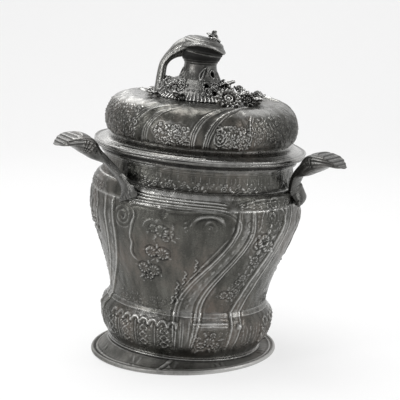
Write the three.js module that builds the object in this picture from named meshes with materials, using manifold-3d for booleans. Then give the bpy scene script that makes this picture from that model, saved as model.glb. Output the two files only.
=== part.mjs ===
// Lidded brazier in cast pewter: a swelling body on a flat foot plate, three shell handles,
// a swirled lid with a pierced, hooded knob, and inside it a hanging fire pan with its grate.
// Millimetres, +Z up. The origin is the centre of the flat underside of the foot plate.
// Angles around the body are measured from the front, which faces -Y, and grow towards +X.

import * as THREE from 'three';
import { mergeVertices } from 'three/addons/utils/BufferGeometryUtils.js';
import Module from 'manifold-3d';

const wasm = await Module();
wasm.setup();

// Driving dimensions

const GAP = 0.3;                 // clearance between pieces that touch
const WALL = 3;                  // cast wall of the body and the lid
const LEAN = 0.083;              // the body leans towards +X on its level foot, in radians

const FOOT_RADIUS = 106;
const FOOT_PLATE = 3.6;          // thickness of the flat of the foot plate
const FOOT_EDGE = 1.9;           // how far the edge mouldings stand above that flat

const COLLAR_HEIGHT = 14;        // heights of the stacked castings, along the leaning axis
const BELLY_HEIGHT = 47.5;
const WAIST_HEIGHT = 5.2;
const WALL_HEIGHT = 120;
const SHOULDER_HEIGHT = 17;
const NECK_HEIGHT = 22;
const RIM_HEIGHT = 11.5;

const BASE_RADIUS = 85;          // outer radii of the body
const BELLY_RADIUS = 97.5;
const WAIST_RADIUS = 89;
const SHOULDER_RADIUS = 120;
const NECK_RADIUS = 107;
const RIM_RADIUS = 119;

const RIB_RELIEF = 2;            // how far the S-ribs stand off the wall

const HANDLE_REACH = 180;        // distance from the axis to a handle's tip
const HANDLE_THICKNESS = 7;
const HANDLE_WIDTH = 18;

const PAN_DEPTH = 92;            // fire pan, from its flange down to its underside
const PAN_FLOOR_RADIUS = 66;
const PAN_BEND_OUT = 18;         // the pan's floor turns up into its side over this width
const PAN_BEND_UP = 16;          // and this height
const PAN_SHEET = 2.4;
const LEDGE_WIDTH = 8;           // shelf that the pan's flange hangs on
const LEDGE_LIP = 1.8;           // upstand that keeps the flange centred
const PAN_CLEARANCE = 1.2;       // round the hanging pan
const GRATE_THICKNESS = 3;
const GRATE_FOOT = 8;

const LID_FLANGE_HEIGHT = 10;
const DOME_RADIUS = 107;
const DOME_HEIGHT = 44.3;
const SWIRL_RELIEF = 1.6;        // ridges of the lid's swirl

const KNOB_OFFSET = -7;          // the knob stands a little towards -X of the lid's axis
const KNOB_BASE_RADIUS = 50;
const KNOB_BASE_HEIGHT = 20.5;
const CHIMNEY_RADIUS = 18.4;
const CHIMNEY_FLARE = 5.6;       // how much wider the chimney is where it meets the base
const CHIMNEY_HEIGHT = 30;
const HOOD_RADIUS = 28;
const HOOD_HEIGHT = 17;
const HOOD_TILT = 0.14;          // the hood dips towards +X, in radians
const LOOP_REACH = 43;           // from the knob's axis to the middle of the loop's bar
const LOOP_BAR = 10;
const FINIAL_RADIUS = 9;
const FINIAL_HEIGHT = 12.8;
const FINIAL_OFFSET = 9;         // from the middle of the hood towards +X

const RING_SIDES = 26;           // facets of the turned rings
const FOOT_SIDES = 40;
const KNOB_SIDES = 22;

// Levels along the leaning axis

const bellyBottom = COLLAR_HEIGHT;
const bellyTop = bellyBottom + BELLY_HEIGHT;
const waistTop = bellyTop + WAIST_HEIGHT;
const wallTop = waistTop + WALL_HEIGHT;
const shoulderTop = wallTop + SHOULDER_HEIGHT;
const neckTop = shoulderTop + NECK_HEIGHT;
const rimTop = neckTop + RIM_HEIGHT;
const flangeTop = rimTop + LID_FLANGE_HEIGHT;
const domeTop = flangeTop + DOME_HEIGHT;
const knobBaseTop = domeTop + KNOB_BASE_HEIGHT;
const chimneyTop = knobBaseTop + CHIMNEY_HEIGHT;

const neckInner = NECK_RADIUS - WALL - 0.8;
const ledgeTop = neckTop - 8;
const ledgeShelf = neckInner - GAP - LEDGE_LIP;
const ledgeInner = ledgeShelf - LEDGE_WIDTH;
const panFlangeRadius = ledgeShelf - PAN_CLEARANCE;
const skirtOuter = neckInner - 0.8;

// Materials

const pewter = (color, roughness) => new THREE.MeshStandardMaterial({ color, roughness, metalness: 1 });
const darkPewter = () => pewter(0x4d4c49, 0.42);
const brightPewter = () => pewter(0x6a6966, 0.34);
const castPewter = () => pewter(0x55544f, 0.48);
const sootedIron = () => pewter(0x2a2826, 0.7);

// Geometry helpers

function clean(geometry) {
  // Merge the vertices, drop empty triangles and turn the faces out.
  const bare = new THREE.BufferGeometry();
  bare.setAttribute('position', geometry.getAttribute('position').clone());
  if (geometry.index) bare.setIndex(geometry.index.clone());
  const merged = mergeVertices(bare, 1e-4);
  const index = merged.index.array;
  const position = merged.getAttribute('position');
  const kept = [];
  const [a, b, c] = [new THREE.Vector3(), new THREE.Vector3(), new THREE.Vector3()];
  let volume = 0;
  for (let i = 0; i < index.length; i += 3) {
    const [p, q, r] = [index[i], index[i + 1], index[i + 2]];
    if (p === q || q === r || r === p) continue;
    kept.push(p, q, r);
    a.fromBufferAttribute(position, p);
    b.fromBufferAttribute(position, q);
    c.fromBufferAttribute(position, r);
    volume += a.dot(b.cross(c));
  }
  if (volume < 0) kept.reverse();
  merged.setIndex(kept);
  return merged;
}

function toManifold(geometry) {
  const solid = clean(geometry);
  const mesh = new wasm.Mesh({
    numProp: 3,
    vertProperties: new Float32Array(solid.getAttribute('position').array),
    triVerts: new Uint32Array(solid.index.array),
  });
  return new wasm.Manifold(mesh);
}

function cut(geometry, ...cutters) {
  let solid = toManifold(geometry);
  for (const cutter of cutters) solid = solid.subtract(toManifold(cutter));
  const mesh = solid.getMesh();
  const result = new THREE.BufferGeometry();
  result.setAttribute('position', new THREE.BufferAttribute(mesh.vertProperties, 3));
  result.setIndex(new THREE.BufferAttribute(mesh.triVerts, 1));
  return result;
}

function turned(profile, sides = RING_SIDES) {
  // Revolve [radius, height] points about Z; the profile closes on itself or on the axis.
  const onAxis = profile[0][0] === 0;
  const points = profile.map(([radius, height]) => new THREE.Vector2(radius, height));
  if (!onAxis) points.push(points[0].clone());
  return clean(new THREE.LatheGeometry(points, sides).rotateX(Math.PI / 2));
}

function grid(rows, columns, pointAt) {
  // A closed skin over rows x columns points that wraps round in both directions.
  const positions = [];
  const index = [];
  for (let row = 0; row < rows; row++) {
    for (let column = 0; column < columns; column++) positions.push(...pointAt(row, column));
  }
  for (let row = 0; row < rows; row++) {
    const nextRow = (row + 1) % rows;
    for (let column = 0; column < columns; column++) {
      const nextColumn = (column + 1) % columns;
      const a = row * columns + column;
      const b = row * columns + nextColumn;
      const c = nextRow * columns + nextColumn;
      const d = nextRow * columns + column;
      index.push(a, b, c, a, c, d);
    }
  }
  const geometry = new THREE.BufferGeometry();
  geometry.setAttribute('position', new THREE.Float32BufferAttribute(positions, 3));
  geometry.setIndex(index);
  return clean(geometry);
}

function loft(sections) {
  // Skin a row of outlines with equal point counts and close both ends.
  const sides = sections[0].length;
  const positions = sections.flat().flatMap((point) => [point.x, point.y, point.z]);
  const index = [];
  for (let row = 0; row + 1 < sections.length; row++) {
    for (let side = 0; side < sides; side++) {
      const next = (side + 1) % sides;
      const a = row * sides + side;
      const b = row * sides + next;
      index.push(a, b, b + sides, a, b + sides, a + sides);
    }
  }
  const last = (sections.length - 1) * sides;
  for (let side = 1; side + 1 < sides; side++) {
    index.push(0, side + 1, side);
    index.push(last, last + side, last + side + 1);
  }
  const geometry = new THREE.BufferGeometry();
  geometry.setAttribute('position', new THREE.Float32BufferAttribute(positions, 3));
  geometry.setIndex(index);
  return clean(geometry);
}

function around(angle, radius, height) {
  // A point at an angle in degrees from the front, a radius and a height.
  const turn = THREE.MathUtils.degToRad(angle);
  return new THREE.Vector3(radius * Math.sin(turn), -radius * Math.cos(turn), height);
}

function curvePoints(points, steps) {
  const curve = new THREE.SplineCurve(points.map(([x, y]) => new THREE.Vector2(x, y)));
  return curve.getPoints(steps).map((point) => [point.x, point.y]);
}

function inset(profile, wall) {
  // The same run of [radius, height] points, moved square to itself towards the axis.
  return profile.map(([radius, height], i) => {
    const before = profile[Math.max(i - 1, 0)];
    const after = profile[Math.min(i + 1, profile.length - 1)];
    const along = new THREE.Vector2(after[0] - before[0], after[1] - before[1]).normalize();
    return [radius - along.y * wall, height + along.x * wall];
  });
}

// Body

function footPlate() {
  const top = FOOT_PLATE;
  const edge = FOOT_PLATE + FOOT_EDGE;
  const r = FOOT_RADIUS;
  return turned([
    [0, 0], [r - 2, 0], [r, 1.6], [r, edge - 1.8], [r - 1.8, edge], [r - 4.2, top + 0.6],
    [r - 6.2, edge - 0.2], [r - 8.6, top + 0.3], [BASE_RADIUS + 2, top], [0, top],
  ], FOOT_SIDES);
}

function footCollar() {
  // A ring in the leaning frame, cut off level just above the foot plate.
  const r = BASE_RADIUS;
  const top = COLLAR_HEIGHT - GAP;
  const low = -r * Math.tan(LEAN) - 4;
  const ring = turned([
    [r - 6, low], [r - 1.5, low], [r - 1.5, top - 6.4], [r + 2.2, top - 4.6], [r + 2.4, top - 2.2],
    [r + 0.4, top], [r - 6, top],
  ]);
  ring.rotateY(LEAN);
  const floor = new THREE.BoxGeometry(4 * r, 4 * r, 100);
  floor.translate(0, 0, FOOT_PLATE + GAP - 50);
  return cut(ring, floor);
}

function bellyProfile() {
  const from = bellyBottom;
  const h = BELLY_HEIGHT - GAP;
  const swell = BELLY_RADIUS - BASE_RADIUS;
  return curvePoints([
    [BASE_RADIUS, from], [BASE_RADIUS + swell * 0.5, from + h * 0.2],
    [BASE_RADIUS + swell * 0.88, from + h * 0.47], [BELLY_RADIUS, from + h * 0.73],
    [BELLY_RADIUS - 1.6, from + h * 0.88], [WAIST_RADIUS + 2, from + h],
  ], 8);
}

function bellyBowl() {
  const outside = bellyProfile();
  const inside = inset(outside, WALL).slice(1);
  inside[inside.length - 1] = [WAIST_RADIUS - WALL, bellyTop - GAP];
  inside.reverse();
  const floor = bellyBottom + WALL;
  return turned([[0, bellyBottom], ...outside, ...inside, [BASE_RADIUS - WALL - 1, floor], [0, floor]]);
}

function waistRing() {
  const [low, high] = [bellyTop, waistTop - GAP];
  const middle = (low + high) / 2;
  const r = WAIST_RADIUS;
  return turned([
    [r - WALL, low], [r + 1.4, low], [r + 2.6, middle - 0.8], [r + 2.6, middle + 0.8],
    [r + 0.6, high], [r - WALL, high],
  ]);
}

// Each S-rib of the wall: its angle at the shoulder and at the waist, how far it bows sideways
// between them, and half its width at the two ends, all in degrees around the axis.
const RIBS = [
  { top: -92, waist: -119, bow: -1, topHalf: 5.5, waistHalf: 10 },
  { top: -53, waist: -76, bow: 10, topHalf: 5, waistHalf: 6 },
  { top: 28, waist: -1, bow: -1.5, topHalf: 5.5, waistHalf: 10 },
  { top: 60, waist: 31, bow: -1, topHalf: 5, waistHalf: 6 },
  { top: 148, waist: 119, bow: -1.5, topHalf: 5.5, waistHalf: 10 },
  { top: 182, waist: 153, bow: 2, topHalf: 5, waistHalf: 6 },
];

// Across a rib: place as a share of its half width, and relief as a share of RIB_RELIEF.
const RIB_SECTION = [[-1, 0], [-0.84, 1], [-0.36, 0.8], [0, 0.45], [0.36, 0.8], [0.84, 1], [1, 0]];

function ribAngle(rib, share) {
  // share is 0 at the waist and 1 at the shoulder.
  return rib.waist + (rib.top - rib.waist) * share + rib.bow * Math.sin(Math.PI * share);
}

function bandColumns(bands, section, angleOf, halfOf, step) {
  // Columns that run along the bands: [angle at a share of the height, relief share].
  const columns = [];
  bands.forEach((band, i) => {
    const following = bands[(i + 1) % bands.length];
    const wrap = i + 1 === bands.length ? 360 : 0;
    for (const [place, relief] of section) {
      columns.push({ angle: (share) => angleOf(band, share) + place * halfOf(band, share), relief, panel: 0 });
    }
    const from = (share) => angleOf(band, share) + halfOf(band, share);
    const to = (share) => angleOf(following, share) - halfOf(following, share) + wrap;
    const count = Math.max(1, Math.round((to(0.5) - from(0.5)) / step) - 1);
    for (let k = 1; k <= count; k++) {
      const mix = k / (count + 1);
      columns.push({
        angle: (share) => from(share) + (to(share) - from(share)) * mix,
        relief: 0,
        panel: Math.sin(Math.PI * mix),
      });
    }
  });
  return columns;
}

function fadeAtEnds(share, margin) {
  return Math.min(1, share / margin, (1 - share) / margin);
}

function wallProfile(steps) {
  const from = waistTop;
  const h = WALL_HEIGHT - GAP;
  const flare = SHOULDER_RADIUS - WAIST_RADIUS;
  return curvePoints([
    [WAIST_RADIUS, from], [WAIST_RADIUS + flare * 0.05, from + h * 0.1],
    [WAIST_RADIUS + flare * 0.29, from + h * 0.31], [WAIST_RADIUS + flare * 0.7, from + h * 0.58],
    [SHOULDER_RADIUS - 0.8, from + h * 0.79], [SHOULDER_RADIUS, from + h * 0.9],
    [SHOULDER_RADIUS - 1, from + h],
  ], steps);
}

function wallOutside(grow) {
  // The wall's outline with its ribs, and with the clearance that a neighbour keeps.
  return wallProfile(10).map(([radius, height]) => [radius + RIB_RELIEF + grow, height]);
}

function bodyWall() {
  const half = (rib, share) => rib.waistHalf + (rib.topHalf - rib.waistHalf) * share;
  const columns = bandColumns(RIBS, RIB_SECTION, ribAngle, half, 11);
  const outside = wallProfile(10);
  const inside = inset(wallProfile(3), WALL).reverse();
  inside[0][1] = waistTop + WALL_HEIGHT - GAP;
  inside[inside.length - 1][1] = waistTop;
  const rows = [...outside, ...inside];
  return grid(rows.length, columns.length, (row, column) => {
    const [radius, height] = rows[row];
    const share = (height - waistTop) / (WALL_HEIGHT - GAP);
    const outer = row < outside.length;
    const relief = outer ? RIB_RELIEF * columns[column].relief * fadeAtEnds(share, 0.05) : 0;
    const point = around(columns[column].angle(share), radius + relief, height);
    return [point.x, point.y, point.z];
  });
}

function shoulderOutside(grow = 0) {
  const low = wallTop;
  const h = SHOULDER_HEIGHT - GAP;
  const drop = SHOULDER_RADIUS - 1 - NECK_RADIUS;
  const shares = [[0.86, 0], [0.93, 0.16], [0.78, 0.36], [0.6, 0.4], [0.6, 0.64], [0.4, 0.8], [0.1, 1]];
  return shares.map(([out, up]) => [NECK_RADIUS + 1.4 + drop * out + grow, low + h * up + grow]);
}

function shoulderRing() {
  const inner = SHOULDER_RADIUS - 1 - WALL - 0.5;
  return turned([...shoulderOutside(), [neckInner, shoulderTop - GAP], [inner, wallTop]]);
}

function filled(outside, sides = RING_SIDES) {
  // The same outline filled in to the axis, for cutting what meets it.
  const low = outside[0][1];
  const high = outside[outside.length - 1][1];
  return turned([[0, low - 2], [outside[0][0], low - 2], ...outside, [0, high]], sides);
}

function neckBand() {
  const [low, high] = [shoulderTop, neckTop - GAP];
  return turned([
    [neckInner, low], [NECK_RADIUS + 1.2, low], [NECK_RADIUS, low + 5], [NECK_RADIUS - 0.8, high - 4],
    [NECK_RADIUS - 0.4, high], [neckInner, high],
  ]);
}

function rimRing() {
  const [low, high] = [neckTop, rimTop - GAP];
  const h = high - low;
  const spread = RIM_RADIUS - NECK_RADIUS;
  return turned([
    [neckInner, low], [NECK_RADIUS, low], [NECK_RADIUS + spread * 0.28, low + h * 0.12],
    [NECK_RADIUS + spread * 0.3, low + h * 0.32], [NECK_RADIUS + spread * 0.24, low + h * 0.42],
    [NECK_RADIUS + spread * 0.5, low + h * 0.62], [RIM_RADIUS - 0.8, low + h * 0.72],
    [RIM_RADIUS, low + h * 0.86], [RIM_RADIUS - 1, high], [neckInner, high],
  ]);
}

// Handles

// From the root on the shoulder to the tip: how far round (0 root, 1 tip), radius, height,
// width and thickness, the last two as shares of HANDLE_WIDTH and HANDLE_THICKNESS.
function handleStations() {
  const t = HANDLE_THICKNESS / 2 + 0.5;
  const drop = SHOULDER_RADIUS - 1 - NECK_RADIUS;
  const seat = (share) => NECK_RADIUS + 1.4 + drop * share + t;
  const h = SHOULDER_HEIGHT;
  const clear = RIM_RADIUS + t;
  const reach = HANDLE_REACH - clear;
  return [
    [0, seat(0.96), wallTop + h * 0.1, 1.3, 0.7],
    [0.03, seat(0.88), wallTop + h * 0.3, 1.45, 1],
    [0.1, seat(0.72), wallTop + h * 0.58, 1.15, 1],
    [0.22, seat(0.5), wallTop + h * 0.9, 1, 1],
    [0.4, seat(0.36), shoulderTop + 4, 0.95, 1],
    [0.62, seat(0.62), neckTop - NECK_HEIGHT * 0.4, 0.95, 1.05],
    [0.78, clear + reach * 0.02, neckTop - 1.5, 1, 1.1],
    [0.9, clear + reach * 0.14, neckTop + 6, 1.3, 1.3],
    [0.96, clear + reach * 0.32, rimTop + 4, 1.9, 1.7],
    [1, clear + reach * 0.52, rimTop + 7, 2.3, 1.9],
    [1, clear + reach * 0.71, rimTop + 7, 2.1, 1.6],
    [1, clear + reach * 0.87, rimTop + 5, 1.4, 1.1],
    [1, clear + reach, rimTop + 3, 0.4, 0.45],
  ];
}

function handle(tipAngle, rootAngle) {
  const stations = handleStations();
  const centres = stations.map(([share, radius, height]) =>
    around(rootAngle + (tipAngle - rootAngle) * share, radius, height));
  const sides = 12;
  const sections = stations.map(([share, , , width, thickness], i) => {
    const before = centres[Math.max(i - 1, 0)];
    const after = centres[Math.min(i + 1, centres.length - 1)];
    const along = after.clone().sub(before).normalize();
    const outward = around(rootAngle + (tipAngle - rootAngle) * share, 1, 0);
    // The strap's face looks inwards at the root and upwards at the shell.
    const face = outward.multiplyScalar(-1).lerp(new THREE.Vector3(0, 0, 1), Math.min(1, i / 9));
    const up = face.addScaledVector(along, -face.dot(along)).normalize();
    const across = new THREE.Vector3().crossVectors(along, up).normalize();
    return Array.from({ length: sides }, (_, k) => {
      const turn = (2 * Math.PI * k) / sides;
      const flute = k % 2 === 0 ? 1 : 0.93;
      const x = Math.sign(Math.cos(turn)) * Math.abs(Math.cos(turn)) ** 0.8;
      const y = Math.sign(Math.sin(turn)) * Math.abs(Math.sin(turn)) ** 0.7;
      return centres[i].clone()
        .addScaledVector(across, x * flute * width * HANDLE_WIDTH / 2)
        .addScaledVector(up, y * thickness * HANDLE_THICKNESS / 2);
    });
  });
  return cut(loft(sections), filled(shoulderOutside(GAP)), filled(wallOutside(GAP)));
}

// Fire pan and grate

function panLedge() {
  const r = neckInner - GAP;
  return turned([
    [ledgeInner, ledgeTop - 2.5], [ledgeShelf, ledgeTop - 2.5], [ledgeShelf, ledgeTop - 9],
    [r, ledgeTop - 9], [r, ledgeTop + 2.4], [r - 1, ledgeTop + 2.4], [ledgeShelf, ledgeTop],
    [ledgeInner, ledgeTop],
  ]);
}

const panSeat = ledgeTop + GAP;
const panBottom = panSeat - PAN_DEPTH;
const panMouth = ledgeInner - PAN_CLEARANCE;

function panSide(height) {
  // Outer radius of the pan's straight side at a height.
  const low = panBottom + PAN_BEND_UP;
  const lowRadius = PAN_FLOOR_RADIUS + PAN_BEND_OUT;
  return lowRadius + ((height - low) / (panSeat - low)) * (panMouth - lowRadius);
}

function firePanProfile() {
  const sheet = PAN_SHEET;
  const floor = PAN_FLOOR_RADIUS;
  const flange = panFlangeRadius - 1;
  const bend = [floor + PAN_BEND_OUT * 0.67, panBottom + PAN_BEND_UP * 0.31];
  const side = [floor + PAN_BEND_OUT, panBottom + PAN_BEND_UP];
  return [
    [0, panBottom], [floor, panBottom], bend, side, [panMouth, panSeat], [flange, panSeat],
    [flange + 1, panSeat + 1.2], [flange, panSeat + sheet + 0.4], [panMouth, panSeat + sheet],
    [panMouth - sheet, panSeat - 1], [side[0] - sheet, side[1] + 0.6], [bend[0] - 1, bend[1] + sheet],
    [floor - 1, panBottom + sheet], [0, panBottom + sheet],
  ];
}

const EAR_WIDTH = 20;
const EAR_HEIGHT = 42;
const EAR_SHEET = 2;
const EAR_HOLE = 6;
const RIVET_RADIUS = 2;
const rivetLevels = [panSeat - 8, panSeat - 16];
const panSlope = Math.atan2(panMouth - PAN_FLOOR_RADIUS - PAN_BEND_OUT, PAN_DEPTH - PAN_BEND_UP);
// The flat ear is a chord of the round wall, and the wall has flat facets: it stands off by both.
const earStandoff = GAP + EAR_WIDTH ** 2 / (8 * (panMouth - PAN_SHEET - EAR_WIDTH / 2))
  + panMouth * (1 - Math.cos(Math.PI / RING_SIDES));

function placeOnPanWall(geometry, side, depth, height) {
  // Stand a piece that was made facing +X on the pan's inner wall, at the pan's own slope.
  geometry.rotateY(panSlope);
  geometry.translate(panSide(height) - (PAN_SHEET + depth) * Math.cos(panSlope), 0, height);
  if (side < 0) geometry.rotateZ(Math.PI);
  return geometry;
}

function rivetHole(side, height) {
  const hole = new THREE.CylinderGeometry(RIVET_RADIUS + GAP, RIVET_RADIUS + GAP, 30, 8).rotateZ(Math.PI / 2);
  return placeOnPanWall(hole, side, 0, height);
}

function firePan() {
  const holes = [-1, 1].flatMap((side) => rivetLevels.map((height) => rivetHole(side, height)));
  return cut(turned(firePanProfile()), ...holes);
}

function panEar(side) {
  // A riveted lifting ear: a strap that stands up the pan's wall, with a hole for a hook.
  const half = EAR_WIDTH / 2;
  const shape = new THREE.Shape();
  shape.moveTo(-half, 0);
  shape.lineTo(half, 0);
  shape.lineTo(half, EAR_HEIGHT - half);
  shape.absarc(0, EAR_HEIGHT - half, half, 0, Math.PI, false);
  shape.closePath();
  const hole = new THREE.Path();
  hole.absarc(0, EAR_HEIGHT - half, EAR_HOLE, 0, 2 * Math.PI, true);
  shape.holes.push(hole);
  const strap = new THREE.ExtrudeGeometry(shape, { depth: EAR_SHEET, bevelEnabled: false, curveSegments: 8 });
  // The strap is drawn in XY and pushed along Z: stand it up, with its face square to X.
  strap.rotateX(Math.PI / 2).rotateZ(Math.PI / 2).translate(-EAR_SHEET / 2, 0, 0);
  const foot = panSeat - 20;
  const stood = placeOnPanWall(strap, side, EAR_SHEET / 2 + earStandoff, foot);
  return cut(stood, ...rivetLevels.map((height) => rivetHole(side, height)));
}

function panRivet(side, height) {
  const r = RIVET_RADIUS;
  const head = r + 1.6;
  const inner = PAN_SHEET + EAR_SHEET + GAP + earStandoff;
  const rivet = turned([
    [0, -GAP - 1.6], [head * 0.7, -GAP - 1.3], [head, -GAP], [r, -GAP], [r, inner],
    [head, inner], [head * 0.7, inner + 1.3], [0, inner + 1.6],
  ], 8);
  // It was turned about Z with its outer head at 0: lay its axis along -X.
  rivet.rotateY(-Math.PI / 2);
  return placeOnPanWall(rivet, side, -PAN_SHEET, height);
}

const grateBottom = panBottom + PAN_SHEET + GRATE_FOOT;
const grateRadius = PAN_FLOOR_RADIUS + 7;
const GRATE_FEET = 3;

function fireGrate() {
  const bar = 7;
  const slot = 5.5;
  const shape = new THREE.Shape();
  shape.absarc(0, 0, grateRadius, 0, 2 * Math.PI, false);
  const pitch = bar + slot;
  const count = Math.floor((grateRadius - bar) / pitch);
  for (let i = -count; i <= count; i++) {
    const y = i * pitch;
    const end = Math.sqrt((grateRadius - bar) ** 2 - (Math.abs(y) + slot / 2) ** 2);
    if (!(end > slot)) continue;
    const hole = new THREE.Path();
    hole.moveTo(-end, y - slot / 2);
    hole.lineTo(end, y - slot / 2);
    hole.lineTo(end, y + slot / 2);
    hole.lineTo(-end, y + slot / 2);
    hole.closePath();
    shape.holes.push(hole);
  }
  const plate = new THREE.ExtrudeGeometry(shape, {
    depth: GRATE_THICKNESS, bevelEnabled: false, curveSegments: 18,
  });
  return plate.translate(0, 0, grateBottom);
}

function grateFoot(number) {
  const low = panBottom + PAN_SHEET + GAP;
  const high = grateBottom - GAP;
  const foot = turned([[0, low], [5.5, low], [5.5, low + 2], [4, high], [0, high]], 10);
  const place = around((360 / GRATE_FEET) * number, PAN_FLOOR_RADIUS - 9.7, 0);
  return foot.translate(place.x, place.y, 0);
}

// Lid

function lidFlange() {
  const low = rimTop;
  const high = flangeTop - GAP;
  const h = high - low;
  const r = RIM_RADIUS + 0.5;
  const inner = skirtOuter - WALL - 1;
  return turned([
    [inner, low], [r - 1, low], [r, low + h * 0.14], [r - 1, low + h * 0.3], [r - 3, low + h * 0.24],
    [r - 9, low + h * 0.46], [r - 9.6, low + h * 0.6], [DOME_RADIUS - 2.5, low + h * 0.8],
    [DOME_RADIUS - 6, high], [inner, high],
  ]);
}

function lidSkirt() {
  const low = neckTop + 3;
  const high = rimTop - GAP;
  return turned([
    [skirtOuter - 2.4, low], [skirtOuter - 0.8, low], [skirtOuter, low + 1.5], [skirtOuter, high],
    [skirtOuter - 2.4, high],
  ]);
}

// The lid's swirl: bands of double ridges, by their angle at the foot of the dome and near its
// top, in degrees, with half their width at both places.
const SWIRLS = [
  { foot: -150, top: -110, half: 8 },
  { foot: -40, top: -1, half: 7.5 },
  { foot: -1.5, top: 38, half: 7 },
  { foot: 88, top: 60, half: 7 },
  { foot: 160, top: 200, half: 8 },
];

const SWIRL_SECTION = [[-1, 0], [-0.72, 1], [-0.44, 0.1], [0, -0.5], [0.44, 0.1], [0.72, 1], [1, 0]];
const DOME_OPENING = 26;

function domeProfile(steps) {
  const from = flangeTop;
  const h = DOME_HEIGHT;
  const r = DOME_RADIUS;
  return curvePoints([
    [r - 6.5, from], [r - 2.4, from + h * 0.09], [r - 0.8, from + h * 0.22], [r, from + h * 0.42],
    [r - 2.4, from + h * 0.63], [r - 8.2, from + h * 0.84], [r - 16, from + h * 0.95],
    [r - 25, from + h * 0.985], [r - 50, from + h], [DOME_OPENING, from + h],
  ], steps);
}

function lidDome() {
  const outside = domeProfile(11);
  const inside = inset(domeProfile(4), WALL).reverse();
  inside[0][0] = DOME_OPENING;
  inside[inside.length - 1][1] = flangeTop;
  const foot = outside[0][1];
  const angle = (swirl, share) => swirl.foot + (swirl.top - swirl.foot) * share ** 2.2;
  const columns = bandColumns(SWIRLS, SWIRL_SECTION, angle, (swirl) => swirl.half, 13);
  const rows = [...outside, ...inside];
  const lengths = [0];
  outside.slice(1).forEach(([radius, height], i) => {
    lengths.push(lengths[i] + Math.hypot(radius - outside[i][0], height - outside[i][1]));
  });
  const total = DOME_RADIUS - DOME_OPENING;
  return grid(rows.length, columns.length, (row, column) => {
    const [radius, height] = rows[row];
    const outer = row < outside.length;
    const share = outer ? Math.min(1, lengths[row] / total) : Math.min(1, (height - foot) / DOME_HEIGHT) * 0.6;
    const { relief, panel } = columns[column];
    const fade = outer ? fadeAtEnds(Math.min(1, lengths[row] / (DOME_HEIGHT + 30)), 0.16) : 0;
    const lift = fade > 0 ? fade * (SWIRL_RELIEF * relief + 0.8 * panel) : 0;
    const point = around(columns[column].angle(share), radius + lift, height + lift * 0.3);
    return [point.x, point.y, point.z];
  });
}

// Knob: a pierced chimney on a spreading base, under a tilted hood, with a loop at its side

const knobFloor = domeTop + GAP;

const knobThroat = CHIMNEY_RADIUS + CHIMNEY_FLARE;
const knobSpread = KNOB_BASE_RADIUS - knobThroat;

function knobBaseOutside(grow = 0) {
  const [low, high] = [knobFloor, knobBaseTop - GAP];
  const h = high - low;
  const r = KNOB_BASE_RADIUS;
  const outside = [
    [r - 0.5, low], [r, low + 2], [r - knobSpread * 0.24, low + h * 0.28],
    [r - knobSpread * 0.52, low + h * 0.5], [knobThroat + knobSpread * 0.16, low + h * 0.76],
    [knobThroat, high],
  ];
  return outside.map(([radius, height]) => [radius + grow, height + grow]);
}

function knobBaseShell() {
  const [low, high] = [knobFloor, knobBaseTop - GAP];
  const h = high - low;
  const r = KNOB_BASE_RADIUS;
  return turned([
    ...knobBaseOutside(), [knobThroat - WALL, high], [knobThroat + knobSpread * 0.05, low + h * 0.56],
    [r - knobSpread * 0.56, low + h * 0.26], [r - 9, low + h * 0.08], [r - 9, low],
  ], KNOB_SIDES);
}

function vent(angle, radius, height, width, tall) {
  // A lozenge-shaped piercing, pushed through the knob's wall from outside.
  const shape = new THREE.Shape();
  shape.moveTo(-width / 2, 0);
  shape.quadraticCurveTo(-width / 4, -tall / 2, 0, -tall / 2);
  shape.quadraticCurveTo(width / 2, -tall / 4, width / 2, 0);
  shape.quadraticCurveTo(width / 4, tall / 2, 0, tall / 2);
  shape.quadraticCurveTo(-width / 2, tall / 4, -width / 2, 0);
  const punch = new THREE.ExtrudeGeometry(shape, { depth: 26, bevelEnabled: false, curveSegments: 1 });
  punch.rotateX(Math.PI / 2);
  punch.rotateZ(THREE.MathUtils.degToRad(angle));
  const place = around(angle, radius - 12, height);
  return punch.translate(place.x, place.y, place.z);
}

const VENT_SETS = [0, 120, 240];

function knobBase() {
  const vents = VENT_SETS.flatMap((turn) => [
    vent(turn + 16, 26, knobBaseTop - 5, 6, 5),
    vent(turn + 26, 35, knobBaseTop - 11.5, 8, 4.5),
  ]);
  return cut(knobBaseShell(), ...vents);
}

function hoodPlane(geometry, lift = 0) {
  // Put a piece made about the origin on the tilted top of the chimney.
  return geometry.rotateY(HOOD_TILT).translate(0, 0, chimneyTop + lift);
}

const chimneyOver = CHIMNEY_HEIGHT + 8;   // the tube is made too tall, then cut at the hood's tilt

function chimneyOutside(grow = 0) {
  const low = knobBaseTop;
  const h = CHIMNEY_HEIGHT;
  const r = CHIMNEY_RADIUS + grow;
  return [
    [r + CHIMNEY_FLARE, low], [r + 2.2, low + h * 0.22], [r, low + h * 0.46], [r + 0.8, low + h * 0.66],
    [r + 1.8, low + h * 0.7], [r + 1.2, low + h * 0.76], [r + 2.8, low + h * 0.84],
    [r + 3.6, low + chimneyOver],
  ];
}

function knobChimney() {
  const low = knobBaseTop;
  const bore = CHIMNEY_RADIUS - WALL;
  const tube = turned([
    ...chimneyOutside(), [bore + 1.6, low + chimneyOver], [bore, low + CHIMNEY_HEIGHT * 0.46],
    [bore + 2, low + CHIMNEY_HEIGHT * 0.2], [bore + CHIMNEY_FLARE, low],
  ], KNOB_SIDES);
  const above = hoodPlane(new THREE.BoxGeometry(120, 120, 60).translate(0, 0, 30), -GAP);
  const vents = VENT_SETS.map((turn) => vent(turn + 43, 20, knobBaseTop + 7, 5, 6));
  return cut(tube, above, ...vents);
}

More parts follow.
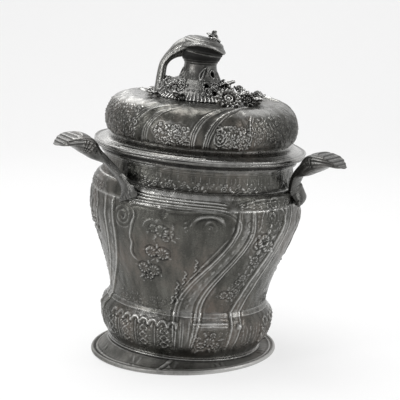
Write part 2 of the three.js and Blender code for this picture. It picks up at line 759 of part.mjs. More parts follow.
function hoodGeometry(grow = 0) {
  const r = HOOD_RADIUS + grow;
  const h = HOOD_HEIGHT;
  return hoodPlane(turned([
    [0, -grow], [r * 0.72, -grow], [r * 0.8, h * 0.06 - grow], [r * 0.96, h * 0.2 - grow], [r, h * 0.36],
    [r * 0.94, h * 0.53 + grow], [r * 0.77, h * 0.62 + grow], [r * 0.73, h * 0.72 + grow],
    [r * 0.5, h * 0.83 + grow], [r * 0.46, h * 0.89 + grow], [r * 0.2, h * 0.98 + grow], [0, h + grow],
  ], KNOB_SIDES));
}

function knobLoop() {
  // The bar of the loop: out of the hood, down and back to the spreading base. Each point is
  // a share of LOOP_REACH and a share of the knob's height, from the chimney's top.
  const tall = chimneyTop - domeTop;
  const shares = [
    [0.26, 0.2], [0.48, 0.14], [0.65, 0.01], [0.79, -0.105], [0.91, -0.245], [0.98, -0.39],
    [1.02, -0.58], [1.03, -0.8], [1.03, -0.95],
  ];
  const path = new THREE.CatmullRomCurve3(shares.map(([reach, rise]) =>
    new THREE.Vector3(-LOOP_REACH * reach, 0, chimneyTop + tall * rise)));
  const section = new THREE.Shape();
  section.absellipse(0, 0, LOOP_BAR / 2, LOOP_BAR * 0.42, 0, 2 * Math.PI, false, 0);
  const bar = new THREE.ExtrudeGeometry(section, {
    steps: 16, extrudePath: path, bevelEnabled: false, curveSegments: 5,
  });
  const under = new THREE.BoxGeometry(300, 300, 40).translate(0, 0, domeTop + GAP - 20);
  const chimney = filled(chimneyOutside(GAP), KNOB_SIDES);
  return cut(bar, hoodGeometry(GAP), chimney, filled(knobBaseOutside(GAP), KNOB_SIDES), under);
}

function knobFinial() {
  // A blossom of two tiers of petals on the hood's crown.
  const r = FINIAL_RADIUS;
  const h = FINIAL_HEIGHT;
  const blossom = turned([
    [0, 0], [r * 0.83, 0], [r, h * 0.23], [r * 0.82, h * 0.42], [r * 0.67, h * 0.45],
    [r * 0.78, h * 0.67], [r * 0.53, h * 0.89], [r * 0.22, h * 0.97], [0, h],
  ], 10);
  blossom.translate(FINIAL_OFFSET, 0, HOOD_HEIGHT * 0.8);
  return cut(hoodPlane(blossom), hoodGeometry(GAP));
}

// Cast sprays soldered at the foot of the knob

function rose(radius) {
  const r = radius;
  const h = r * 0.6;
  return turned([
    [0, -h], [r * 0.5, -h * 0.8], [r, h * 0.2], [r * 0.88, h * 0.6], [r * 0.62, h * 0.35],
    [r * 0.5, h], [r * 0.25, h * 0.8], [0, h * 1.2],
  ], 10);
}

function bud(radius, stalk) {
  // A round bud on a straight stalk; its origin is the middle of the bud.
  const r = radius;
  return turned([
    [0, -stalk], [r * 0.5, -stalk], [r * 0.35, -r * 0.9], [r * 0.9, -r * 0.4], [r, r * 0.2],
    [r * 0.5, r], [0, r * 1.2],
  ], 8);
}

function leaf(length, width) {
  // A cupped leaf along +X, thick at its midrib, with its tip turned up.
  const stations = [[0, 0.3], [0.25, 0.85], [0.55, 1], [0.8, 0.6], [1, 0.08]];
  return loft(stations.map(([share, wide]) => {
    const half = (width / 2) * wide;
    const lift = length * 0.15 * share * share;
    const x = length * share;
    // The outline starts at its keel, so that the end caps fan out without folding over.
    return [
      new THREE.Vector3(x, 0, lift - 1.6), new THREE.Vector3(x, half, lift + 1.4),
      new THREE.Vector3(x, 0, lift + 0.9), new THREE.Vector3(x, -half, lift + 1.4),
    ];
  }));
}

// Places are [across, back, above the dome's top], tilts and turns are in degrees: a piece is
// tilted towards +X, then turned about Z.
const SPRAYS = {
  spray_right_rose: { make: () => rose(10), at: [25, -46, 6.2], tilt: 52, turn: -72 },
  spray_right_flower: { make: () => rose(7.5), at: [47, -40, 4.6], tilt: 48, turn: -62 },
  spray_right_leaf_front: { make: () => leaf(17, 9), at: [52, -31, 2.2], tilt: -4, turn: -22 },
  spray_right_leaf_middle: { make: () => leaf(20, 11), at: [35, -27, 3.6], tilt: -14, turn: 18 },
  spray_right_leaf_top: { make: () => leaf(24, 10), at: [14, -18, 13], tilt: -12, turn: 12 },
  spray_right_bud_tall: { make: () => bud(4.2, 12), at: [38, -6, 12.4], tilt: 14, turn: 0 },
  spray_right_bud_end: { make: () => bud(5.4, 7.4), at: [59, -14, 7.8], tilt: 6, turn: 0 },
  spray_left_rose: { make: () => rose(7), at: [-33, -26, 9.5], tilt: 58, turn: -110 },
  spray_left_leaf_front: { make: () => leaf(18, 9), at: [-24, -45, 3], tilt: -10, turn: -150 },
  spray_left_leaf_side: { make: () => leaf(17, 9), at: [-52, -26, 2.3], tilt: -4, turn: -158 },
  spray_left_bud: { make: () => bud(4.6, 5), at: [-62, -6, 5.2], tilt: -8, turn: 0 },
};

function sprayPiece({ make, at: [x, y, z], tilt, turn }) {
  // Place a piece and trim it where it would enter the dome or the knob's base.
  const piece = make().rotateY(THREE.MathUtils.degToRad(tilt)).rotateZ(THREE.MathUtils.degToRad(turn));
  piece.translate(x, y, domeTop + z);
  const top = new THREE.BoxGeometry(400, 400, 60).translate(0, 0, domeTop + GAP - 30);
  const base = filled(knobBaseOutside(GAP), KNOB_SIDES).translate(KNOB_OFFSET, 0, 0);
  return cut(piece, top, base);
}

// Assembly

const object = new THREE.Group();
const leaning = new THREE.Group();
leaning.rotation.y = LEAN;
object.add(leaning);
const knob = new THREE.Group();
knob.position.x = KNOB_OFFSET;
leaning.add(knob);

function place(name, geometry, material, group = leaning) {
  const mesh = new THREE.Mesh(geometry, material);
  mesh.name = name;
  group.add(mesh);
  return mesh;
}

place('foot_plate', footPlate(), darkPewter(), object);
place('foot_collar', footCollar(), brightPewter(), object);
place('belly_bowl', bellyBowl(), darkPewter());
place('waist_ring', waistRing(), brightPewter());
place('body_wall', bodyWall(), darkPewter());
place('shoulder_ring', shoulderRing(), brightPewter());
place('neck_band', neckBand(), darkPewter());
place('rim_ring', rimRing(), brightPewter());
place('pan_ledge', panLedge(), sootedIron());

const HANDLES = [['handle_left', -60, -36], ['handle_right', 60, 70], ['handle_back', 180, 196]];
for (const [name, tip, root] of HANDLES) place(name, handle(tip, root), castPewter());

place('fire_pan', firePan(), sootedIron());
for (const [name, side] of [['left', -1], ['right', 1]]) {
  place(`pan_ear_${name}`, panEar(side), sootedIron());
  rivetLevels.forEach((height, i) => {
    place(`pan_rivet_${name}_${i + 1}`, panRivet(side, height), sootedIron());
  });
}
place('fire_grate', fireGrate(), sootedIron());
for (let i = 0; i < GRATE_FEET; i++) place(`grate_foot_${i + 1}`, grateFoot(i), sootedIron());

place('lid_flange', lidFlange(), brightPewter());
place('lid_skirt', lidSkirt(), darkPewter());
place('lid_dome', lidDome(), darkPewter());
place('knob_base', knobBase(), castPewter(), knob);
place('knob_chimney', knobChimney(), castPewter(), knob);
place('knob_hood', hoodGeometry(), brightPewter(), knob);
place('knob_loop', knobLoop(), brightPewter(), knob);
place('knob_finial', knobFinial(), castPewter(), knob);

for (const [name, spray] of Object.entries(SPRAYS)) place(name, sprayPiece(spray), castPewter());

export default object;
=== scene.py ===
# %% [markdown]
# # A lidded pewter brazier
#
# A brazier is a vessel for embers. This one is cast in pewter: a swelling body on a flat foot,
# S-shaped ribs that run from the shoulder down over the belly, three wing-shaped handles, and
# a cushion-shaped lid with a pierced knob through which the warm air leaves.
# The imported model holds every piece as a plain, exact solid. This lesson builds the fine
# surfaces around them: chased flowers, scrolls, gadroons, and a dark skin of tarnish.

import math

import bmesh
import bpy
import numpy as np
from mathutils import Matrix, Vector


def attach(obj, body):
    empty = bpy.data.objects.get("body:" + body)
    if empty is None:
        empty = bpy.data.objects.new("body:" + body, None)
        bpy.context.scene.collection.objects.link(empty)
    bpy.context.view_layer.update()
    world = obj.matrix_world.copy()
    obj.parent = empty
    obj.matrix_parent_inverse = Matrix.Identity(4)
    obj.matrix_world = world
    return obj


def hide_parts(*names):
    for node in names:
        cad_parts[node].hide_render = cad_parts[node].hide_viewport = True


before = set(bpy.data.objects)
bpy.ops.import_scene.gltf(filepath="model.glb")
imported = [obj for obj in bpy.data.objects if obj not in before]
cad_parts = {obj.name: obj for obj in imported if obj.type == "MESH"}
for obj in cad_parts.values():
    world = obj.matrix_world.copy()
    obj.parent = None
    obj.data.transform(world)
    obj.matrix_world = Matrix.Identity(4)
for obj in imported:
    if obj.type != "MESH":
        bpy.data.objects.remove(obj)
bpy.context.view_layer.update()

# %% [markdown]
# ## Sizes
#
# The body was soldered a little askew on its level foot, so nearly everything shares one
# leaning axis. Pieces are drawn upright about that axis, in millimetres, and then scaled and
# tilted in one step. Levels are measured along the axis, and angles from the front, in degrees.

# %% Sizes of the stacked castings
LEAN = 0.083
BASE_RADIUS = 85
NECK_RADIUS = 107
RIM_RADIUS = 119

BELLY_FOOT = 14
WAIST_TOP = 66.7
WALL_TOP = 186.7
SHOULDER_TOP = 203.7
NECK_TOP = 225.7
RIM_TOP = 237.2
DOME_TOP = 291.5
KNOB_BASE_TOP = 312
CHIMNEY_TOP = 342
KNOB_OFFSET = -7
HOOD_TILT = 0.14
GAP = 0.3
THIRDS = (0, 120, 240)

LEVEL = Matrix.Scale(0.001, 4)
LEANING = LEVEL @ Matrix.Rotation(LEAN, 4, "Y")
ON_KNOB = LEANING @ Matrix.Translation((KNOB_OFFSET, 0, 0))
print("the rim's centre lies", round(RIM_TOP * math.sin(LEAN), 1), "mm to the right of the foot's")

# %% [markdown]
# ## Turning a casting
#
# Most of these pieces are turned: a profile of radius and level goes round the axis. A spline
# through a few named points gives a smooth profile, `spin` revolves it, and the points of the
# profile carry two numbers with them, which spin copies: how far along the outside they lie,
# and whether they are on the outside at all. Ornament later needs both.

# %% Smooth lines
def smooth(points, per_span=10):
    """A Catmull-Rom line through the points, with per_span steps between each two."""
    p = np.array(points, float)
    p = np.vstack([2 * p[0] - p[1], p, 2 * p[-1] - p[-2]])
    line = []
    for a, b, c, d in zip(p, p[1:], p[2:], p[3:]):
        for t in np.arange(per_span) / per_span:
            line.append(0.5 * (2 * b + (c - a) * t + (2 * a - 5 * b + 4 * c - d) * t ** 2
                               + (3 * b - a - 3 * c + d) * t ** 3))
    line.append(p[-2])
    return np.array(line)


def even(line, step):
    """The same line, cut anew into equal steps of about this length."""
    line = np.asarray(line, float)
    run = np.concatenate([[0], np.cumsum(np.linalg.norm(np.diff(line, axis=0), axis=1))])
    count = max(2, int(round(run[-1] / step)) + 1)
    at = np.linspace(0, run[-1], count)
    return np.stack([np.interp(at, run, line[:, k]) for k in range(line.shape[1])], 1)


# %% Turned pieces
def face_outwards(bm):
    bmesh.ops.recalc_face_normals(bm, faces=bm.faces)


def turned(outside, inside=(), around=480, step=1.0):
    """Spins a closed profile: outside from low to high, then inside back down to its start."""
    outside = even(outside, step) if step else np.asarray(outside)
    profile = [(r, z, 1.0) for r, z in outside] + [(r, z, 0.0) for r, z in inside]
    run = np.concatenate([[0], np.cumsum(np.linalg.norm(np.diff(outside, axis=0), axis=1))])
    bm = bmesh.new()
    run_layer = bm.verts.layers.float.new("run")
    outer_layer = bm.verts.layers.float.new("outer")
    ring = []
    for i, (r, z, outer) in enumerate(profile):
        v = bm.verts.new((0, -r, z))
        v[run_layer] = run[i] if outer else 0
        v[outer_layer] = outer
        ring.append(v)
    pairs = list(zip(ring, ring[1:]))
    on_axis = profile[0][0] == 0 or profile[-1][0] == 0
    if not on_axis:
        pairs.append((ring[-1], ring[0]))
    edges = [bm.edges.new(p) for p in pairs]
    bmesh.ops.spin(bm, geom=ring + edges, cent=(0, 0, 0), axis=(0, 0, 1), angle=math.tau,
                   steps=around, use_merge=True, use_duplicate=False)
    if on_axis:
        bmesh.ops.remove_doubles(bm, verts=bm.verts, dist=0.001)
    face_outwards(bm)
    return bm


# %% [markdown]
# ## From mesh to piece
#
# A piece is written once: its mesh is carved by moving points along their normals, then placed
# in the frame, smoothed, and tied to the body that carries it. Wear is worked out from the
# carved shape itself. Each point is compared with a softened copy of the surface: what stands
# proud of it gets polished by hands and cloths, and what lies below keeps its tarnish.
# Patches of painted light and shade, and in places wear from handling, are added to that wear.

# %% Meshes, objects and points
def mesh_from(bm, name):
    """A mesh with the points and faces of a bmesh, which is freed."""
    mesh = bpy.data.meshes.new(name)
    bm.to_mesh(mesh)
    bm.free()
    return mesh


def in_scene(name, data):
    """A new object in the scene, from its mesh, camera or light."""
    made = bpy.data.objects.new(name, data)
    bpy.context.scene.collection.objects.link(made)
    return made


def points_of(mesh, what="vertices", key="co"):
    """All points or normals of a mesh as an array."""
    data = getattr(mesh, what)
    out = np.zeros(len(data) * 3, np.float32)
    data.foreach_get(key, out)
    return out.reshape(-1, 3).astype(float)


def move_points(mesh, co):
    mesh.vertices.foreach_set("co", co.astype(np.float32).ravel())
    mesh.update()


def write_attribute(mesh, name, values):
    layer = mesh.attributes.get(name) or mesh.attributes.new(name, "FLOAT", "POINT")
    layer.data.foreach_set("value", np.asarray(values, np.float32))


def read_attribute(mesh, name):
    out = np.zeros(len(mesh.vertices), np.float32)
    mesh.attributes[name].data.foreach_get("value", out)
    return out.astype(float)


def wear(mesh, rounds, full, rubbed_and_lit):
    """Writes how proud each point stands of the softened surface: 0 deep, 0.5 level, 1 proud,
    and adds the given patches, which are painted light and shade and in places wear from handling.
    """
    co = points_of(mesh)
    normals = points_of(mesh, "vertex_normals", "vector")
    ends = np.zeros(len(mesh.edges) * 2, np.int32)
    mesh.edges.foreach_get("vertices", ends)
    a, b = ends[0::2], ends[1::2]
    count = np.bincount(a, minlength=len(co)) + np.bincount(b, minlength=len(co))
    soft = co.copy()
    for _ in range(rounds):
        total = np.stack([np.bincount(a, soft[b, k], len(co)) + np.bincount(b, soft[a, k], len(co))
                          for k in range(3)], 1)
        soft = 0.4 * soft + 0.6 * total / np.maximum(count, 1)[:, None]
    proud = ((co - soft) * normals).sum(1)
    write_attribute(mesh, "wear_and_painted_light", 0.5 + 0.5 * np.tanh(proud / full) + rubbed_and_lit)


# %% Drawing on a round wall
USUAL_OVER_LEAST = 1.35         # a piece's usual radius over the least one that carries marks


class Relief:
    """Heights in millimetres at the points of a round wall, drawn mark by mark.
    A place is an angle in degrees and a level in millimetres. Turn moves every later mark.
    Least is the smallest radius, in millimetres, at which small marks are drawn."""

    def __init__(self, co, run, least):
        angle = np.degrees(np.arctan2(co[:, 0], -co[:, 1]))
        self.least = least
        self.degree = math.degrees(1 / (USUAL_OVER_LEAST * least))
        self.order = np.argsort(angle, kind="stable")
        self.angle = angle[self.order]
        self.level = co[self.order, 2]
        self.run = run[self.order]
        self.radius = np.hypot(co[:, 0], co[:, 1])[self.order]
        self.height = np.zeros(len(angle))
        # painted light and shade, with some wear from handling, added to the wear attribute
        self.light_and_wear = np.zeros(len(angle))
        self.turn = 0.0

    def in_order(self, values):
        """The values in the mesh's own order."""
        out = np.zeros(len(values))
        out[self.order] = values
        return out

    def light_and_wear_patch(self, angle, spread, run, reach, amount):
        """Paints a place lighter, or darker with a negative amount: painted highlights, reflections
        and shade, and in places wear from handling.
        """
        self.light_and_wear += amount * bump(self.off(angle), spread) * bump(self.run - run, reach)

    def off(self, angle):
        """Degrees to the right of an angle, for every point."""
        return turn_between(self.angle, angle + self.turn)

    def near(self, middle, reach, low, high):
        """The points within reach degrees of an angle and between two levels, and how many
        degrees to the right of that angle each one lies."""
        middle = turn_between(middle + self.turn, 0)
        spans = []
        for shift in (-360, 0, 360):
            i, j = np.searchsorted(self.angle, (middle - reach + shift, middle + reach + shift))
            spans.append(np.arange(i, j))
        where = np.concatenate(spans)
        where = where[(self.level[where] > low) & (self.level[where] < high)]
        return where, turn_between(self.angle[where], middle)

    def flat(self, at, size):
        """The points around a place, in millimetres to its right and above it."""
        where, across = self.near(at[0], math.degrees(size / self.least), at[1] - size, at[1] + size)
        return where, np.radians(across) * self.radius[where], self.level[where] - at[1]

    def stroke(self, line, mouldings, fade=0.0):
        """Adds mouldings (offset, half width, height) along a line of (angle, level) points.
        A positive offset lies to the left of the line's direction."""
        line = smooth(line, 6)
        middle = (line[:, 0].min() + line[:, 0].max()) / 2
        reach = max(abs(o) + w for o, w, _ in mouldings)
        where, x = self.near(middle, np.ptp(line[:, 0]) / 2 + reach, line[:, 1].min() - reach,
                             line[:, 1].max() + reach)
        if not len(where):
            return
        s, k = self.level[where], np.radians(self.radius[where])
        best = np.full(len(where), 1e9)
        side = np.zeros(len(where))
        run = np.zeros(len(where))
        for i, (p, q) in enumerate(zip(line, line[1:])):
            ax, ay = (x - p[0] + middle) * k, s - p[1]
            bx, by = (q[0] - p[0]) * k, q[1] - p[1]
            t = np.clip((ax * bx + ay * by) / (bx * bx + by * by + 1e-9), 0, 1)
            away = np.hypot(ax - t * bx, ay - t * by)
            closer = away < best
            best[closer] = away[closer]
            side[closer] = np.sign(bx * ay - by * ax)[closer]
            run[closer] = ((i + t) / (len(line) - 1))[closer]
        offset = best * side
        ends = np.clip(np.minimum(run, 1 - run) / fade, 0, 1) if fade else 1
        for at, width, up in mouldings:
            self.height[where] += up * bump(offset - at, width) * ends

    def rosette(self, at, size, petals, turn, up, squash=1.0):
        """Two rings of curled petals round a boss, on a ground that is sunk round them."""
        where, x, y = self.flat(at, size * 1.35)
        out = np.hypot(x, y / squash) / size
        around = np.arctan2(y, x) + turn
        outer = bump(out - 0.7, 0.34) * (0.5 + 0.5 * np.cos(petals * around + 2.4 * out)) ** 0.7
        inner = 0.8 * bump(out - 0.34, 0.17) * (0.5 + 0.5 * np.cos((petals - 2) * around - 2 * out))
        self.height[where] += up * (1.3 * outer + inner + bump(out, 0.16) - 0.6 * bump(out - 1.1, 0.24))

    def leaf(self, at, length, width, direction, up):
        """A leaf with a sunk midrib and side veins, lying along a direction in degrees."""
        where, x, y = self.flat(at, length * 0.6)
        c, s = math.cos(math.radians(direction)), math.sin(math.radians(direction))
        along, across = (x * c + y * s) / length, (y * c - x * s) / width
        half = 0.5 * np.clip(1 - (2 * along) ** 2, 0, 1) ** 0.7 * (1 - 0.35 * along)
        body = np.clip(1 - (across / np.maximum(half, 1e-3)) ** 2, 0, 1)
        veins = 0.25 * np.cos(along * 26 - np.abs(across) * 16) * body
        self.height[where] += up * (body ** 0.6 - 0.55 * bump(across, 0.07) * (body > 0) + veins)

    def bead(self, at, size, up):
        where, x, y = self.flat(at, size)
        self.height[where] += up * bump(np.hypot(x, y), size)

    def scroll(self, at, size, turns, start, hand, up, squash=1.0, eye=0.16, lit=None):
        """A spiral ridge that tightens towards a raised eye. Lit is the direction, in degrees,
        in which the ridge stands highest; it dies away on the far side."""
        where, x, y = self.flat(at, size * 1.15 * max(squash, 1))
        y = y / squash
        out = np.hypot(x, y) / size
        around = hand * np.arctan2(y, x) - math.radians(start)
        pitch = (1 - eye) / turns
        phase = ((1 - out) / pitch - around / math.tau) % 1
        ridge = bump(phase - 0.5, 0.42) * np.clip((out - eye) * 12, 0, 1)
        ridge = ridge * np.clip((1.08 - out) * 12, 0, 1)
        if lit is not None:
            ridge = ridge * (0.55 + 0.45 * np.cos(np.arctan2(y, x) - math.radians(lit)))
        self.height[where] += up * (ridge - 0.3 * (out < 1.05) + 1.2 * bump(out, eye))

    def posy(self, at, size, flowers, leaves, up):
        """Flowers (right, up, size share, petals) and leaves (right, up, direction) at a place."""
        for right, rise, share, petals in flowers:
            place = (at[0] + right * self.degree, at[1] + rise)
            self.rosette(place, size * share, petals, right + rise, up, 0.92)
        for right, rise, direction in leaves:
            place = (at[0] + right * self.degree, at[1] + rise)
            self.leaf(place, size * 1.15, size * 0.55, direction, up * 0.9)

    def sprigs(self, left, right, low, high, spacing, size, up, seed):
        """Small leaves and flowers strewn over a field, on a loosened grid."""
        chance = np.random.default_rng(seed)
        for x in np.arange(left, right, spacing * self.degree):
            for s in np.arange(low, high, spacing):
                place = (x + chance.uniform(-0.4, 0.4) * spacing * self.degree,
                         s + chance.uniform(-0.4, 0.4) * spacing)
                share = chance.uniform(0.7, 1.2)
                if chance.random() < 0.35:
                    self.rosette(place, size * 0.6 * share, 5, s, up)
                else:
                    self.leaf(place, size * share, size * 0.5, chance.uniform(0, 360), up)


def turn_between(angle, centre):
    """The angle from centre, wrapped so that it lies between -180 and 180 degrees."""
    return (angle - centre + 180) % 360 - 180


def bump(distance, width):
    """A rounded ridge: 1 in the middle, 0 at width and beyond."""
    return np.clip(1 - (distance / width) ** 2, 0, 1) ** 1.5


def across_band(u, section):
    """Height across a band from a table of places (-1 left edge, 1 right edge) and heights."""
    places, heights = zip(*section)
    return np.interp(u, places, heights)


# %% Making a piece
def piece(name, bm, body, replaced, finish, place=LEANING, relief=None, rounds=8, full=0.45,
          least=80):
    """Carves a mesh, puts it in the frame and ties it to its body. Rounds is how often the
    surface is softened to find its wear, and full the height that then counts as bare metal.
    Returns the object."""
    mesh = mesh_from(bm, name)
    # painted light and shade, and some wear from handling, drawn as patches by the relief
    rubbed_and_lit = 0
    if relief:
        co = points_of(mesh)
        field = Relief(co, read_attribute(mesh, "run"), least)
        relief(field)
        rubbed_and_lit = field.in_order(field.light_and_wear)
        lift = field.in_order(field.height) * read_attribute(mesh, "outer")
        move_points(mesh, co + points_of(mesh, "vertex_normals", "vector") * lift[:, None])
    wear(mesh, rounds, full, rubbed_and_lit)
    mesh.transform(place)
    mesh.update()
    mesh.shade_smooth()
    mesh.materials.append(finish)
    made = in_scene(name, mesh)
    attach(made, body)
    if replaced:
        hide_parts(*replaced)
    print(name, len(mesh.polygons), "faces")
    return made


# %% [markdown]
# ## Tarnished pewter
#
# Old pewter isn't one grey. A dark, slightly warm oxide lies over it in clouds, thickest in the
# hollows, and the metal shows through on the edges. So one recipe mixes three colours: grime,
# skin and bare metal. An attribute worked out from the wear decides between them, broken up by
# noise so that no border is clean, and a fine bump gives the cast and scoured surface its tooth.
# The same attribute carries patches of painted light and shade, so there the bare metal paints
# highlights and reflections, and the grime paints shade.

# %% A wrapper for shader maths
OBJECT_COORDINATES = 3          # the outputs and inputs that share a name are told by number
ATTRIBUTE_NUMBER = 2
MIX_FACTOR, MIX_FIRST, MIX_SECOND = 0, 6, 7
MIX_RESULT = 2


class Wire:
    """A socket that can be added, subtracted and multiplied as a number."""

    def __init__(self, finish, socket):
        self.finish = finish
        self.socket = socket

    def _math(self, operation, first, second):
        return self.finish.node("ShaderNodeMath", {"operation": operation}, {0: first, 1: second})

    def __add__(self, other):
        return self._math("ADD", self, other)

    def __sub__(self, other):
        return self._math("SUBTRACT", self, other)

    def __rsub__(self, other):
        return self._math("SUBTRACT", other, self)

    def __mul__(self, other):
        return self._math("MULTIPLY", self, other)

    __radd__ = __add__

    def clamp(self, low=0.0, high=1.0):
        return self.finish.node("ShaderNodeClamp", None, {"Value": self, "Min": low, "Max": high})


class Finish:
    """A material and the one method that adds nodes to it."""

    def __init__(self, name):
        self.material = bpy.data.materials.new(name)
        self.material.use_nodes = True
        self.tree = self.material.node_tree
        self.shader = self.tree.nodes["Principled BSDF"]

    def node(self, kind, settings=None, inputs=None, output=0):
        made = self.tree.nodes.new(kind)
        for key, value in (settings or {}).items():
            setattr(made, key, value)
        for key, value in (inputs or {}).items():
            self.put(made.inputs[key], value)
        return Wire(self, made.outputs[output])

    def put(self, socket, value):
        if isinstance(value, Wire):
            self.tree.links.new(value.socket, socket)
        elif socket.type == "RGBA":
            socket.default_value = (*value, 1)
        else:
            socket.default_value = value

    def set(self, **values):
        for key, value in values.items():
            self.put(self.shader.inputs[key.replace("_", " ")], value)

    def noise(self, where, scale, detail=4.0, roughness=0.55):
        return self.node("ShaderNodeTexNoise", None,
                         {"Vector": where, "Scale": scale, "Detail": detail, "Roughness": roughness})

    def mix(self, factor, first, second):
        return self.node("ShaderNodeMix", {"data_type": "RGBA"},
                         {MIX_FACTOR: factor, MIX_FIRST: first, MIX_SECOND: second}, MIX_RESULT)


# %% The pewter recipe
GRIME = (0.018, 0.0175, 0.0165)
SKIN = (0.13, 0.1285, 0.116)
BARE = (0.56, 0.556, 0.54)
BROWN = (0.145, 0.12, 0.103)


def pewter(name, skin=SKIN, bare=BARE, brown=0.5, light_and_wear=0.0, roughness=0.3, shaped=True, grime=GRIME):
    """Grime in the hollows, a cloudy skin on the open surface and bare metal on the edges."""
    f = Finish(name)
    where = f.node("ShaderNodeTexCoord", None, None, OBJECT_COORDINATES)
    clouds = f.noise(where, 14.0, 6.0, 0.62)
    grain = f.noise(where, 210.0, 5.0, 0.6)
    specks = f.noise(where, 620.0, 3.0, 0.7)
    streaks = f.noise(f.node("ShaderNodeMapping", None, {"Vector": where, "Scale": (1, 1, 0.16)}),
                      95.0, 4.0, 0.6)
    if shaped:
        wear_and_painted_light = f.node("ShaderNodeAttribute", {"attribute_name": "wear_and_painted_light"}, None, ATTRIBUTE_NUMBER)
    else:
        wear_and_painted_light = clouds * 0.2 + 0.4
    # uneven also carries the patches of painted light and shade, so there proud paints highlights and
    # reflections and deep paints shade, besides bare edges and grime in the hollows
    uneven = wear_and_painted_light + (grain - 0.5) * 0.3 + (clouds - 0.5) * 0.25 + light_and_wear
    proud = ((uneven - 0.58) * 2.4).clamp()
    deep = ((0.43 - uneven) * 3.2).clamp()
    brownish = ((clouds - 0.46) * 8.0 * brown).clamp()
    mottled = f.mix(brownish, skin, BROWN)
    shade = ((streaks - 0.4) * 2.6 + (specks - 0.5) * 1.4 + (clouds - 0.5) * 2.0 + 0.2).clamp()
    cloudy = f.mix(shade, tuple(0.5 * c for c in skin), mottled)
    edged = f.mix(proud * 0.85, cloudy, bare)
    f.set(Base_Color=f.mix(deep, edged, grime))
    f.set(Metallic=(0.97 - deep * 0.4).clamp())
    rough = roughness + (grain - 0.5) * 0.3 + (clouds - 0.5) * 0.3 + deep * 0.3 - proud * 0.06
    f.set(Roughness=rough.clamp(0.12, 1.0))
    tooth = grain * 0.7 + specks * 0.4 + streaks * 0.3
    f.set(Normal=f.node("ShaderNodeBump", None, {"Height": tooth, "Strength": 0.5, "Distance": 0.0012}))
    return f.material


DARK = pewter("dark pewter")
# lighter pewter for the collar, rim and flange: wear from handling and a painted sheen on their edges
BRIGHT = pewter("rubbed pewter", skin=(0.19, 0.188, 0.178), light_and_wear=0.03, brown=0.25, roughness=0.26)
CAST = pewter("cast pewter", skin=(0.15, 0.149, 0.142), brown=0.2)
# the foot's pewter: rougher and browner, and its lighter skin is a painted reflection of the white floor
DULL = pewter("dull pewter", skin=(0.22, 0.216, 0.2), light_and_wear=0.03, brown=0.6, roughness=0.5)
# lightest pewter for the loop and the roses: wear on these raised, handled parts and a painted sheen for
# their highlights
TOUCHED_AND_LIT = pewter("touched_and_lit pewter", skin=(0.27, 0.267, 0.255), light_and_wear=0.08, brown=0.1, roughness=0.24)
SOOT = pewter("sooted iron", skin=(0.035, 0.033, 0.031), bare=(0.12, 0.11, 0.1), roughness=0.62, brown=0.3,
              shaped=False, grime=(0.008, 0.0075, 0.007))
print("pewter finishes ready")

# %% [markdown]
# ## The ribs
#
# Six S-ribs run from the shoulder to the waist and on over the belly. They come in pairs, three
# times around, and between the pairs lie wide and narrow panels in turn. A rib is drawn across:
# fine round mouldings at each side of a shallow middle field.

# %% Where the ribs run
RIB_FOOT = 22
RIBS = [
    {"top": -92, "waist": -120, "sweep": "late", "top_half": 5, "waist_half": 10, "wide": True},
    {"top": -53, "waist": -76, "sweep": "bowed", "top_half": 4, "waist_half": 6, "wide": False},
    {"top": 28, "waist": 0, "sweep": "late", "top_half": 5, "waist_half": 10, "wide": True},
    {"top": 59.5, "waist": 35.5, "sweep": "early", "top_half": 3.6, "waist_half": 4.8, "wide": False},
    {"top": 148, "waist": 120, "sweep": "late", "top_half": 5, "waist_half": 10, "wide": True},
    {"top": 180, "waist": 156, "sweep": "early", "top_half": 3.6, "waist_half": 4.8, "wide": False},
]
WIDE_SECTION = [(-1.2, 0), (-1.1, -0.7), (-1.02, -0.7), (-0.95, 0.6), (-0.88, 1.1), (-0.8, 0.7),
                (-0.74, 0.35), (-0.68, 0.8), (-0.6, 0.8), (-0.52, 0.3), (-0.3, 0.45), (0, 0.7),
                (0.3, 0.5), (0.44, -0.3), (0.5, -0.2), (0.58, 0.8), (0.65, 1.1), (0.73, 0.5),
                (0.77, 0.45), (0.84, 1.25), (0.92, 1.2), (1.0, 0.1), (1.07, -0.6), (1.17, 0)]
NARROW_SECTION = [(-1.5, 0), (-1.2, -0.6), (-1.0, 0.2), (-0.84, 1.2), (-0.66, 1.1), (-0.48, 0.3),
                  (-0.1, 0.2), (0.3, 0.5), (0.6, 0.5), (0.76, 1.2), (0.92, 1.2), (1.05, 0.0),
                  (1.25, -0.6), (1.5, 0)]
SWEEPS = {
    "late": lambda share: np.sin(np.pi / 2 * np.clip(share / 0.86, 0, 1)) ** 1.75,
    "early": lambda share: 1 - (1 - share) ** 1.6,
    "bowed": lambda share: share + 0.43 * np.sin(np.pi * share),
}


def rib_place(rib, share):
    """The rib's middle angle and half width at a share of the wall's height."""
    share = np.clip(share, 0, 1)
    middle = rib["waist"] + (rib["top"] - rib["waist"]) * SWEEPS[rib["sweep"]](share)
    return middle, rib["waist_half"] + (rib["top_half"] - rib["waist_half"]) * share


def ribs(field):
    """Adds the six ribs, which fade out towards the foot of the belly."""
    share = (field.level - WAIST_TOP) / (WALL_TOP - WAIST_TOP)
    below = np.clip(-share, 0, 1)
    fade = np.clip((field.level - RIB_FOOT) / 14, 0, 1)
    fade = fade * np.clip((WALL_TOP + 2 - field.level) / 8, 0, 1)
    for rib in RIBS:
        middle, half = rib_place(rib, share)
        slope = 4 if rib["wide"] else 12
        u = turn_between(field.angle, middle - below * slope) / (half * (1 - below))
        field.height += across_band(u, WIDE_SECTION if rib["wide"] else NARROW_SECTION) * fade
        # the rib bands are painted a little lighter: wear on the raised ribs and a painted sheen
        field.light_and_wear += 0.12 * bump(u, 1.6) * fade


print(len(RIBS), "ribs")

